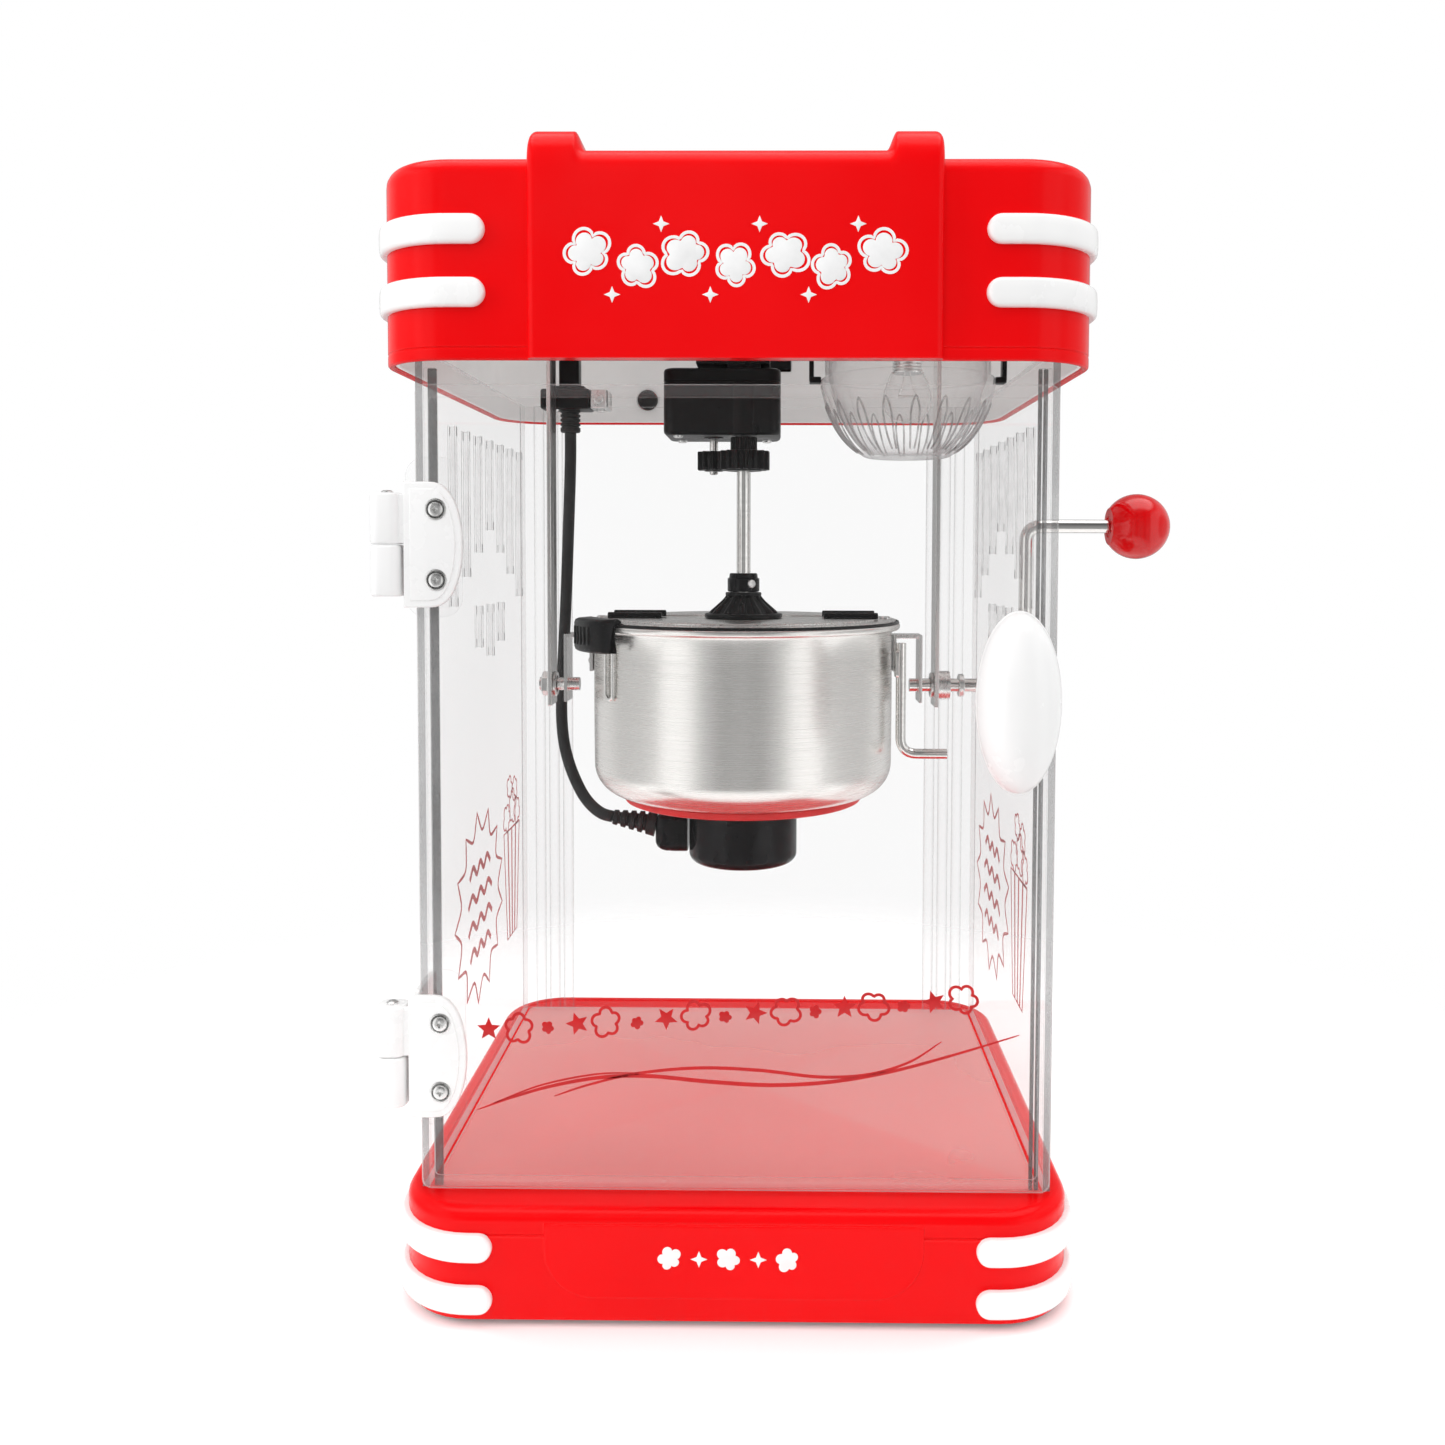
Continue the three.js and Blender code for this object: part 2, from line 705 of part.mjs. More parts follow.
addPart('door_panel', doorPanel(), clearPlastic);
addPart('door_handle', doorHandle(), whiteGloss);
for (const [name, middle] of [['lower', hingeHeights[0]], ['upper', hingeHeights[1]]]) {
  addPart(`hinge_door_leaf_${name}`, hingeDoorLeaf(middle), whiteGloss);
  addPart(`hinge_side_leaf_${name}`, hingeSideLeaf(middle), whiteGloss);
}

// ---------- kettle ----------

function arcPoints(cx, cz, radius, from, to, steps) {
  const points = [];
  for (let i = 0; i <= steps; i += 1) {
    const angle = THREE.MathUtils.degToRad(from + (to - from) * i / steps);
    points.push([cx + radius * Math.cos(angle), cz + radius * Math.sin(angle)]);
  }
  return points;
}

function kettlePot() {
  const rimOuter = potRadius + rimOverhang;
  const inner = potRadius - potWall;
  const corner = potRadius - potCorner;
  const profile = [
    [0, potBottom],
    ...arcPoints(corner, potBottom + potCorner, potCorner, -90, 0, 4),
    [potRadius, potTop], [rimOuter, potTop + 0.6], [rimOuter, rimTop - 0.4], [rimOuter - 1, rimTop],
    [inner + 1.5, rimTop], [inner, potTop],
    ...arcPoints(corner, potBottom + potCorner, potCorner - potWall, 0, -90, 4),
    [0, potBottom + potWall],
  ];
  return turned(profile, 0, kettleY, 48);
}

// A kettle hanger: a leg on the pot's wall, a step under the rim and a pierced plate beside the strap.
function kettleHanger(side) {
  const half = hangerWidth / 2;
  const legX = potRadius + 0.5;
  const step = potTop - 3;
  const leg = box([legX, kettleY - half, step - hangerLeg], [legX + hangerWall, kettleY + half, step]);
  const tab = box([legX, kettleY - half, step - hangerWall], [hangerX + hangerWall, kettleY + half, step]);
  const plate = box([hangerX, kettleY - half, pivotHeight - hangerReach],
    [hangerX + hangerWall, kettleY + half, step]);
  const hanger = joined([leg, tab, plate]);
  if (side > 0) {
    return hanger.subtract(
      cylinderAcross(pivotRadius + clearance, hangerX - 1, hangerX + hangerWall + 1, kettleY, pivotHeight));
  }
  const pin = cylinderAcross(pivotRadius, hangerX - 5, fixedStrapX + fixedStrapWall + 5, kettleY, pivotHeight);
  return hanger.add(pin).mirror([1, 0, 0]);
}

function lidOutline(radius) {
  return cylinderUp(radius, lidBottom, lidTop, 0, kettleY, 48);
}

function lidBridge() {
  const reach = potRadius + lidOverhang;
  const bar = box([-reach, kettleY - bridgeHalfWidth, lidBottom - 1], [reach, kettleY + bridgeHalfWidth, lidTop + 1]);
  const middle = cylinderUp(hubRadius + 1.5, lidBottom, lidTop, 0, kettleY, 32);
  const solid = lidOutline(reach).intersect(bar).add(middle);
  return solid.subtract(cylinderUp(shaftRadius + runningGap, lidBottom - 1, lidTop + 1, 0, kettleY, 16));
}

// One half of the lid, hinged beside the bridge.
function lidFlap(side) {
  const inner = bridgeHalfWidth + 1;
  const reach = potRadius + 20;
  const keep = side < 0
    ? box([-reach, kettleY - reach, lidBottom - 1], [reach, kettleY - inner, lidTop + 1])
    : box([-reach, kettleY + inner, lidBottom - 1], [reach, kettleY + reach, lidTop + 1]);
  const notch = cylinderUp(hubRadius + hubNotch, lidBottom - 1, lidTop + 1, 0, kettleY, 32);
  return lidOutline(potRadius + lidOverhang).intersect(keep).subtract(notch);
}

function heaterPlate() {
  const top = potBottom - clearance;
  const low = top - heaterPlateHeight;
  const wall = heaterPlateWall;
  return turned([[0, low], [heaterPlateRadius - 1, low], [heaterPlateRadius, low + 1], [heaterPlateRadius, top],
    [heaterPlateRadius - wall, top], [heaterPlateRadius - wall, low + wall], [0, low + wall]], 0, kettleY, 40);
}

function heatingElement() {
  const top = potBottom - 2 * clearance;
  const low = top - heaterPlateHeight + heaterPlateWall + clearance;
  return turned([[elementInner, low], [elementOuter, low], [elementOuter, top], [elementInner, top],
    [elementInner, low]], 0, kettleY, 32);
}

function heaterHousing() {
  const top = potBottom - heaterPlateHeight - 2 * clearance;
  const low = top - heaterHeight;
  const edge = housingEdge;
  return turned([[0, low], ...arcPoints(heaterRadius - edge, low + edge, edge, -90, 0, 3),
    [heaterRadius, top], [0, top]], 0, kettleY, 32);
}

// A thumb grip that hooks over the rim at the front left.
function kettleGrip() {
  const angle = THREE.MathUtils.degToRad(gripAngle);
  const outer = potRadius + rimOverhang + gripReach;
  const shape = new THREE.Shape();
  const spread = gripSpread;
  shape.absarc(0, kettleY, outer, angle - spread, angle + spread, false);
  shape.absarc(0, kettleY, potRadius + rimOverhang + clearance, angle + spread, angle - spread, true);
  shape.closePath();
  const skirt = slab(shape, rimTop - gripDrop, rimTop + clearance, 6);
  const top = new THREE.Shape();
  top.absarc(0, kettleY, outer, angle - spread, angle + spread, false);
  top.absarc(0, kettleY, potRadius + lidOverhang + 1, angle + spread, angle - spread, true);
  top.closePath();
  return joined([skirt, slab(top, rimTop + clearance, rimTop + gripHeight, 6)]);
}

function stopRod() {
  const x = potRadius + stopRodOut;
  const y = kettleY - stopRodForward;
  const low = potBottom + stopRodRise;
  return bentRod([[x, y, potTop - 5], [x, y, low + 7], [x + 2.4, y, low + 2], [x + 7.5, y, low],
    [x + stopRodReach, y, low]], stopRodRadius, 8);
}

function crankRod() {
  const outside = cabinetWidth / 2 + crankReach;
  const bend = 5;
  const top = pivotHeight + crankRise;
  return bentRod([
    [hangerX - 4, kettleY, pivotHeight], [outside - bend, kettleY, pivotHeight],
    [outside, kettleY, pivotHeight + bend], [outside, kettleY, top - bend],
    [outside + bend, kettleY, top], [cabinetWidth / 2 + ballOffset, kettleY, top],
  ], pivotRadius, 12);
}

function ballKnob() {
  const x = cabinetWidth / 2 + ballOffset;
  const z = pivotHeight + crankRise;
  const ball = new THREE.SphereGeometry(ballRadius, 20, 14);
  ball.translate(x, kettleY, z);
  const flat = box([x - 2 * ballRadius, kettleY - ballRadius, z - ballRadius],
    [x - ballRadius * 0.86, kettleY + ballRadius, z + ballRadius]);
  const bore = cylinderAcross(pivotRadius + clearance, x - 2 * ballRadius, x + clearance, kettleY, z, 12);
  return cutFrom(toSolid(ball), [flat, bore]);
}

addPart('kettle_pot', kettlePot(), brushed);
for (const [name, side] of sides) addPart(`kettle_hanger_${name}`, kettleHanger(side), steel);
addPart('lid_bridge', lidBridge(), steel);
addPart('lid_flap_front', lidFlap(-1), steel);
addPart('lid_flap_rear', lidFlap(1), steel);
addPart('heater_plate', heaterPlate(), redGloss);
addPart('heating_element', heatingElement(), steel);
addPart('heater_housing', heaterHousing(), blackPlastic);
addPart('kettle_grip', kettleGrip(), blackPlastic);
addPart('stop_rod', stopRod(), steel);
addPart('crank_rod', crankRod(), steel);
addPart('ball_knob', ballKnob(), redGloss);

// ---------- stirrer and its drive ----------

const hubBottom = lidTop + clearance;
const hubTop = hubBottom + hubHeight;
const collarBottom = hubTop + clearance;

function stirHub() {
  const bore = shaftRadius + runningGap;
  return turned([[bore, hubBottom], [hubRadius, hubBottom], [hubRadius, hubBottom + 2],
    [hubTopRadius, hubTop - 2], [hubTopRadius, hubTop], [bore, hubTop], [bore, hubBottom]], 0, kettleY, 24);
}

function shaftCollar() {
  const bore = shaftRadius + clearance;
  return turned([[bore, collarBottom], [collarRadius, collarBottom], [collarRadius, collarBottom + collarHeight],
    [bore, collarBottom + collarHeight], [bore, collarBottom]], 0, kettleY, 20);
}

function stirShaft() {
  const low = potBottom + potWall + bladeGap;
  const reach = potRadius - potCorner - 2;
  const shaft = cylinderUp(shaftRadius, low, neckTop - 3, 0, kettleY, 16);
  const bar = box([-reach, kettleY - 2, low], [reach, kettleY + 2, low + bladeHeight]);
  const tips = sides.map(([, side]) => box(
    [Math.min(side * reach, side * (reach - 3)), kettleY - 2, low],
    [Math.max(side * reach, side * (reach - 3)), kettleY + 2, low + bladeTip]));
  return joined([shaft, bar, ...tips]);
}

// A spur gear with straight-sided teeth, one of them centred on the given angle.
function spurGear(teeth, x, y, low, high, angle) {
  const pitchRadius = gearModule * teeth / 2;
  const tip = pitchRadius + 0.5 * gearModule;
  const root = pitchRadius - 0.85 * gearModule;
  const rootHalf = 0.84 * gearModule;
  const tipHalf = 0.33 * gearModule;
  const shape = new THREE.Shape();
  for (let i = 0; i < teeth; i += 1) {
    const middle = angle + 2 * Math.PI * i / teeth;
    const corners = [[root, -rootHalf / root], [tip, -tipHalf / tip], [tip, tipHalf / tip], [root, rootHalf / root]];
    for (const [radius, offset] of corners) {
      const px = x + radius * Math.cos(middle + offset);
      const py = y + radius * Math.sin(middle + offset);
      if (i === 0 && radius === root && offset < 0) shape.moveTo(px, py);
      else shape.lineTo(px, py);
    }
  }
  shape.closePath();
  return slab(shape, low, high);
}

const meshAngle = THREE.MathUtils.degToRad(pinionAngle);

function drivenGear() {
  const gear = spurGear(drivenTeeth, 0, kettleY, gearBottom, gearTop, meshAngle);
  const neck = cylinderUp(neckRadius, gearBottom + 1, neckTop, 0, kettleY, 20);
  const bore = cylinderUp(shaftRadius + clearance, gearBottom - 1, neckTop - 2, 0, kettleY, 16);
  return gear.add(neck).subtract(bore);
}

// The pinion, pressed on the motor's shaft.
function pinion() {
  const halfTooth = Math.PI / pinionTeeth;
  const gear = spurGear(pinionTeeth, pinionX, pinionY, gearBottom + 0.6, gearTop + 0.6,
    meshAngle + Math.PI + halfTooth);
  const shaft = cylinderUp(pinionShaftRadius, gearBottom - 1.6, motorBottom + motorWall + 5,
    pinionX, pinionY, 12);
  return gear.add(shaft);
}

const motorMiddleX = motorLeft + motorWidth / 2;
const motorMiddleY = motorFront + motorDepth / 2;

function motorCover() {
  const place = [motorMiddleX, motorMiddleY, 0];
  const outer = slab(roundedRect(motorWidth, motorDepth, motorCorner), motorBottom, motorTop, 5).translate(place);
  const hollow = slab(roundedRect(motorWidth - 2 * motorWall, motorDepth - 2 * motorWall, motorCorner - motorWall),
    motorBottom + motorWall, motorTop + 1, 5).translate(place);
  const bearing = cylinderUp(bearingRadius, motorBottom, motorTop, 0, kettleY, 24);
  const hole = cylinderUp(pinionShaftRadius + runningGap, motorBottom - 1, motorBottom + motorWall + 1,
    pinionX, pinionY, 16);
  return outer.add(bearing).subtract(hollow).subtract(hole);
}

function driveMotor() {
  const low = motorBottom + motorWall + 2;
  const can = cylinderUp(canRadius, low, low + canHeight, pinionX, pinionY + 1, 24);
  return can.subtract(cylinderUp(pinionShaftRadius + clearance, low - 1, low + 5, pinionX, pinionY, 12));
}

// The lid of the motor cover with the flange and neck that hold it to the ceiling.
function motorMount() {
  const gap = motorWall + clearance;
  const lid = slab(roundedRect(motorWidth - 2 * gap, motorDepth - 2 * gap, motorCorner - gap),
    motorTop - 3, motorTop, 5).translate([motorMiddleX, motorMiddleY, 0]);
  const piece = ([left, right, ahead, behind], low, high) =>
    box([left, kettleY + ahead, low], [right, kettleY + behind, high]);
  const neck = piece(mountNeck, motorTop - 1, motorTop + 3);
  const flange = piece(mountFlange, motorTop + 2, motorTop + 7);
  const post = piece(mountPost, motorTop + 6, ceiling - clearance);
  return joined([lid, neck, flange, post]);
}

addPart('stir_hub', stirHub(), blackPlastic);
addPart('shaft_collar', shaftCollar(), blackPlastic);
addPart('stir_shaft', stirShaft(), steel);
addPart('driven_gear', drivenGear(), blackPlastic);
addPart('pinion', pinion(), blackPlastic);
addPart('motor_cover', motorCover(), blackPlastic);
addPart('drive_motor', driveMotor(), steel);
addPart('motor_mount', motorMount(), blackPlastic);

// ---------- fixed hanger straps ----------

function fixedStrap(side) {
  const half = hangerWidth / 2;
  const outer = fixedStrapX + fixedStrapWall;
  const strip = box([fixedStrapX, kettleY - half, pivotHeight - 10], [outer, kettleY + half, ceiling - clearance]);
  const foot = box([fixedStrapX, kettleY - half, ceiling - clearance - fixedStrapWall],
    [outer + 14, kettleY + half, ceiling - clearance]);
  const bore = cylinderAcross(pivotRadius + runningGap, fixedStrapX - 1, outer + 9, kettleY, pivotHeight, 16);
  const pieces = [strip, foot];
  if (side > 0) pieces.push(cylinderAcross(7, fixedStrapX, outer + 6, kettleY, pivotHeight, 20));
  const strap = joined(pieces).subtract(bore);
  return side > 0 ? strap : strap.mirror([1, 0, 0]);
}

for (const [name, side] of sides) addPart(`fixed_strap_${name}`, fixedStrap(side), steel);

// ---------- lamp ----------

const lampBottom = headBottom - lampDrop;

function lampBowl() {
  const w = lampWall;
  const top = ceiling - clearance;
  return turned([
    [0, lampBottom], [lampBottomRadius, lampBottom], [lampRadius - bowlShoulder, lampBottom + 8],
    [lampRadius - bowlStep, lampBottom + 19], [lampRadius, lampBottom + 31], [lampRadius, lampBottom + 34],
    [lampRadius - 2, lampBottom + 35], [lampRadius - 2, top], [lampRadius - 2 - w, top],
    [lampRadius - 2 - w, lampBottom + 31], [lampRadius - bowlStep - w, lampBottom + 20],
    [lampRadius - bowlShoulder - w, lampBottom + 10], [lampBottomRadius - 1, lampBottom + w], [0, lampBottom + w],
  ], lampX, lampY, 32);
}

function lampSocket() {
  return cylinderUp(socketRadius, ceiling - socketHeight, ceiling - clearance, lampX, lampY, 24);
}

function lampBulb() {
  const top = ceiling - socketHeight - clearance;
  const low = lampBottom + bulbRise;
  return turned([[0, low], [bulbRadius * bulbWaist, low + 2], [bulbRadius, low + 9], [bulbRadius * 0.8, low + 18],
    [bulbRadius * bulbWaist, top - 5], [bulbRadius * bulbWaist, top], [0, top]], lampX, lampY, 20);
}

addPart('lamp_bowl', lampBowl(), glass);
addPart('lamp_socket', lampSocket(), whiteGloss);
addPart('lamp_bulb', lampBulb(), glass);

// ---------- kettle lead ----------

const sleeveTop = headBottom - 4;
const plugEnd = -heaterRadius - clearance;
const plugZ = pivotHeight - plugDrop;

// The lead hangs from its sleeve behind the left strap and swings in to the plug under the pot.
const leadRoute = [
  [-88, 15, 374.7], [-88, 15, 368], [-88.1, 15, 360], [-88.4, 15.2, 350], [-88.9, 15.6, 338],
  [-89.6, 16.2, 322], [-90.4, 17, 304], [-91.3, 17.8, 286], [-92.2, 18.2, 270], [-93, 18.2, 255],
  [-93.5, 17.6, 241], [-93.2, 16.2, 229], [-91.8, 14, 218.5], [-89, 10.8, 209], [-85, 7, 200.5],
  [-80, 2.4, 193], [-74.8, -1.6, 188.2], [-69.6, -4.3, 185.3], [-64.6, -5, 184.1],
];

function strainBlock() {
  const bottom = sleeveTop;
  const block = box([leadX - strainLeft, leadY - strainHalfDepth, bottom],
    [leadX + strainRight, leadY + strainHalfDepth, bottom + strainHeight]);
  const post = box([leadX - strainPost, leadY - strainPost, bottom + strainHeight - 1],
    [leadX + strainPost, leadY + strainPost, ceiling - clearance]);
  const sleeve = cylinderUp(sleeveRadius, sleeveTop - sleeveLength, bottom + 1, leadX, leadY, 16);
  return joined([block, post, sleeve]);
}

function kettleLead() {
  const path = new THREE.CatmullRomCurve3(leadRoute.map((point) => new THREE.Vector3(...point)));
  const section = new THREE.Shape();
  section.absarc(0, 0, leadRadius, 0, 2 * Math.PI, false);
  return toSolid(new THREE.ExtrudeGeometry(section, { steps: 30, curveSegments: 4, extrudePath: path }));
}

// A tapered, ribbed boot from the lead's end to the plug.
function leadBoot() {
  const start = new THREE.Vector3(...leadRoute[leadRoute.length - 1]);
  const before = new THREE.Vector3(...leadRoute[leadRoute.length - 2]);
  const direction = start.clone().sub(before).normalize();
  const end = new THREE.Vector3(plugEnd - plugLength - clearance, kettleY, plugZ + 3);
  start.add(direction.multiplyScalar(2 * clearance));
  const length = start.distanceTo(end);
  const boot = new THREE.CylinderGeometry(bootEnd, bootStart, length, 16);
  boot.applyQuaternion(new THREE.Quaternion().setFromUnitVectors(
    new THREE.Vector3(0, 1, 0), end.clone().sub(start).normalize()));
  boot.translate(...start.add(end).multiplyScalar(0.5).toArray());
  const beyond = box([end.x, kettleY - 20, plugZ - 20], [end.x + 20, kettleY + 20, plugZ + 30]);
  return toSolid(boot).subtract(beyond);
}

function leadPlug() {
  const shape = new THREE.Shape();
  const half = plugHalf;
  shape.moveTo(plugEnd - plugLength, plugZ - half + 2);
  shape.lineTo(plugEnd - 12, plugZ - half);
  shape.lineTo(plugEnd, plugZ - half);
  shape.lineTo(plugEnd, plugZ + half);
  shape.lineTo(plugEnd - plugLength, plugZ + half);
  shape.closePath();
  const body = alongY(shape, kettleY - 8, kettleY + 8);
  return body.subtract(cylinderUp(heaterRadius + clearance, plugZ - 2 * half, plugZ + 2 * half, 0, kettleY, 48));
}

addPart('strain_block', strainBlock(), blackPlastic);
addPart('kettle_lead', kettleLead(), rubber);
addPart('lead_boot', leadBoot(), rubber);
addPart('lead_plug', leadPlug(), blackPlastic);

export default machine;
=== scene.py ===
import json
import math
import random

import bmesh
import bpy
from mathutils import Matrix, Vector


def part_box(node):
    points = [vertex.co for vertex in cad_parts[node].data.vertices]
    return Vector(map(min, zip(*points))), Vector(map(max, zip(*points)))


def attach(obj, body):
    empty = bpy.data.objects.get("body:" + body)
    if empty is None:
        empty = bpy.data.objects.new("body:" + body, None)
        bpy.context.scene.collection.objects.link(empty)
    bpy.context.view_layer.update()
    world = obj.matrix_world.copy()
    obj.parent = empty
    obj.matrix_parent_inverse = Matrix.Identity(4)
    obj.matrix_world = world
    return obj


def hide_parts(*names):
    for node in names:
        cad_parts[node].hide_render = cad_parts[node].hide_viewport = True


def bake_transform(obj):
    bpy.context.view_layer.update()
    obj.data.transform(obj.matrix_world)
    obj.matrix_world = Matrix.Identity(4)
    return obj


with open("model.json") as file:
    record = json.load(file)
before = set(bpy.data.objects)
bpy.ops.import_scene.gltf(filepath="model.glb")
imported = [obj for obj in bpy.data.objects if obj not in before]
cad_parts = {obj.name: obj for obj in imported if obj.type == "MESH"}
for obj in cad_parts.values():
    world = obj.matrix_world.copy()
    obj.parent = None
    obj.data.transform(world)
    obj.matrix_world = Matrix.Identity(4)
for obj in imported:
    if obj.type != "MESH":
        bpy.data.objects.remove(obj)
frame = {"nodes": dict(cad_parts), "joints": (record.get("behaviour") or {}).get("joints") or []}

scene = bpy.context.scene
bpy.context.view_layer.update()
random.seed(11)

# Metres, Z up, front towards -Y. Pieces take their places from the frame's boxes and a few own offsets.

identity = Matrix.Identity(4)
alongXFrame = Matrix(((0, 0, 1, 0), (1, 0, 0, 0), (0, 1, 0, 0),
                      (0, 0, 0, 1)))  # outline in YZ, height along X
alongYFrame = Matrix(((0, 1, 0, 0), (0, 0, 1, 0), (1, 0, 0, 0),
                      (0, 0, 0, 1)))  # outline in ZX, height along Y


def corners(node):
    low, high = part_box(node)
    return Vector(low), Vector(high)


def centre(node):
    low, high = corners(node)
    return (low + high) / 2


# Camera.

cameraSet = {
    "place": (0.0175, -0.622, 0.3142),
    "yaw": -0.011,
    "pitch": 0.0449,
    "roll": 0.0029,
    "lens": 31.355,
    "shiftX": -0.0296,
    "shiftY": -0.0776,
}


def addCamera():
    yaw, pitch, roll = cameraSet["yaw"], cameraSet["pitch"], cameraSet["roll"]
    forward = Vector((math.sin(yaw) * math.cos(pitch), math.cos(yaw) * math.cos(pitch), -math.sin(pitch)))
    right = Vector((math.cos(yaw), -math.sin(yaw), 0))
    up = right.cross(forward)
    rightTilted = right * math.cos(roll) + up * math.sin(roll)
    upTilted = up * math.cos(roll) - right * math.sin(roll)
    turn = Matrix((rightTilted, upTilted, -forward)).transposed().to_4x4()
    data = bpy.data.cameras.new("viewCamera")
    data.lens = cameraSet["lens"]
    data.sensor_width = 36
    data.shift_x = cameraSet["shiftX"]
    data.shift_y = cameraSet["shiftY"]
    data.clip_start = 0.01
    camera = bpy.data.objects.new("viewCamera", data)
    camera.matrix_world = Matrix.Translation(cameraSet["place"]) @ turn
    scene.collection.objects.link(camera)
    scene.camera = camera


addCamera()

# Shape helpers.


def addPiece(name, mesh, body, looks, stands=(), angle=35):
    # Turns a bmesh into a piece that rides on a body and stands for CAD nodes.
    bmesh.ops.recalc_face_normals(mesh, faces=mesh.faces)
    data = bpy.data.meshes.new(name)
    mesh.to_mesh(data)
    mesh.free()
    for look in looks:
        data.materials.append(look)
    data.shade_smooth()
    data.set_sharp_from_angle(angle=math.radians(angle))
    piece = bpy.data.objects.new(name, data)
    scene.collection.objects.link(piece)
    if body:
        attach(piece, body)
    if stands:
        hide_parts(*stands)
    return piece


def soften(piece, width, segments=2, limit=30):
    bevel = piece.modifiers.new("softEdges", "BEVEL")
    bevel.width = width
    bevel.segments = segments
    bevel.limit_method = "ANGLE"
    bevel.angle_limit = math.radians(limit)
    bevel.harden_normals = True
    return piece


def loft(mesh, rings, slot=0, capLow=True, capHigh=True, wrap=False):
    rows = [[mesh.verts.new(point) for point in ring] for ring in rings]
    count = len(rows[0])
    pairs = list(zip(rows, rows[1:]))
    if wrap:
        pairs.append((rows[-1], rows[0]))
    for low, high in pairs:
        for i in range(count):
            j = (i + 1) % count
            mesh.faces.new((low[i], low[j], high[j], high[i])).material_index = slot
    if capLow and not wrap:
        mesh.faces.new(rows[0][::-1]).material_index = slot
    if capHigh and not wrap:
        mesh.faces.new(rows[-1]).material_index = slot
    return rows


def inset(outline, amount):
    # Moves every corner of a counter-clockwise outline inwards.
    moved = []
    count = len(outline)
    for i in range(count):
        before, here, after = (Vector(outline[k % count]) for k in (i - 1, i, i + 1))
        into = (here - before).normalized()
        out = (after - here).normalized()
        first = Vector((-into.y, into.x))
        second = Vector((-out.y, out.x))
        middle = first + second
        if middle.length < 1e-6:
            middle = first
        middle.normalize()
        moved.append(here + middle * (amount / max(middle.dot(first), 0.4)))
    return moved


def roundPlan(halfX, halfY, radius, steps=8, at=(0, 0)):
    radius = min(radius, halfX, halfY)
    points = []
    for cx, cy, start in ((1, 1, 0), (-1, 1, 90), (-1, -1, 180), (1, -1, 270)):
        for k in range(steps + 1):
            angle = math.radians(start + 90 * k / steps)
            x = at[0] + cx * (halfX - radius) + radius * math.cos(angle)
            y = at[1] + cy * (halfY - radius) + radius * math.sin(angle)
            points.append((x, y))
    return points


def pad(mesh, outline, low, high, edge=0.0005, place=identity, slot=0, steps=3, lowEdge=None):
    # A solid of one outline with rounded upper and lower edges.
    lowEdge = edge if lowEdge is None else lowEdge
    levels = []
    if lowEdge > 0:
        for k in range(steps):
            angle = math.pi / 2 * k / steps
            levels.append((lowEdge * (1 - math.sin(angle)), low + lowEdge * (1 - math.cos(angle))))
        levels.append((0, low + lowEdge))
    else:
        levels.append((0, low))
    if edge > 0:
        levels.append((0, high - edge))
        for k in range(1, steps + 1):
            angle = math.pi / 2 * k / steps
            levels.append((edge * (1 - math.cos(angle)), high - edge * (1 - math.sin(angle))))
    else:
        levels.append((0, high))
    rings = []
    for amount, height in levels:
        ring = inset(outline, amount) if amount > 0 else [Vector(p) for p in outline]
        rings.append([place @ Vector((p.x, p.y, height)) for p in ring])
    return loft(mesh, rings, slot)


def block(mesh, low, high, corner=0.001, edge=0.0005, axis="Z", slot=0, steps=4):
    # A box with rounded corners, given by its low and high corner.
    order = {"Z": (0, 1, 2), "X": (1, 2, 0), "Y": (2, 0, 1)}[axis]
    place = {"Z": identity, "X": alongXFrame, "Y": alongYFrame}[axis]
    u, v, w = order
    half = ((high[u] - low[u]) / 2, (high[v] - low[v]) / 2)
    at = ((high[u] + low[u]) / 2, (high[v] + low[v]) / 2)
    pad(mesh, roundPlan(half[0], half[1], corner, steps, at), low[w], high[w], edge, place, slot)


def aim(at, direction=(0, 0, 1)):
    turn = Vector((0, 0, 1)).rotation_difference(Vector(direction)).to_matrix().to_4x4()
    return Matrix.Translation(at) @ turn


def turned(mesh, profile, place=identity, steps=64, slot=0, wave=None, wrap=False):
    # A profile of (radius, height) turned about the place's own Z; wave changes the radius with the angle.
    rings = []
    for k, (radius, height) in enumerate(profile):
        ring = []
        for i in range(steps):
            angle = 2 * math.pi * i / steps
            r = max(radius, 1e-5) * (wave(angle, k) if wave else 1)
            ring.append(place @ Vector((r * math.cos(angle), r * math.sin(angle), height)))
        rings.append(ring)
    return loft(mesh, rings, slot, wrap=wrap)


def arc(cx, cz, radius, start, end, steps=6):
    points = []
    for k in range(steps + 1):
        angle = math.radians(start + (end - start) * k / steps)
        points.append((cx + radius * math.cos(angle), cz + radius * math.sin(angle)))
    return points


def tube(mesh, points, radius, sides=16, slot=0, radii=None):
    points = [Vector(p) for p in points]
    count = len(points)
    tangents = [(points[min(i + 1, count - 1)] - points[max(i - 1, 0)]).normalized() for i in range(count)]
    side = tangents[0].orthogonal().normalized()
    rings = []
    for i, point in enumerate(points):
        side = (side - tangents[i] * side.dot(tangents[i])).normalized()
        other = tangents[i].cross(side)
        r = radii[i] if radii else radius
        ring = []
        for k in range(sides):
            angle = 2 * math.pi * k / sides
            ring.append(point + side * (r * math.cos(angle)) + other * (r * math.sin(angle)))
        rings.append(ring)
    return loft(mesh, rings, slot)


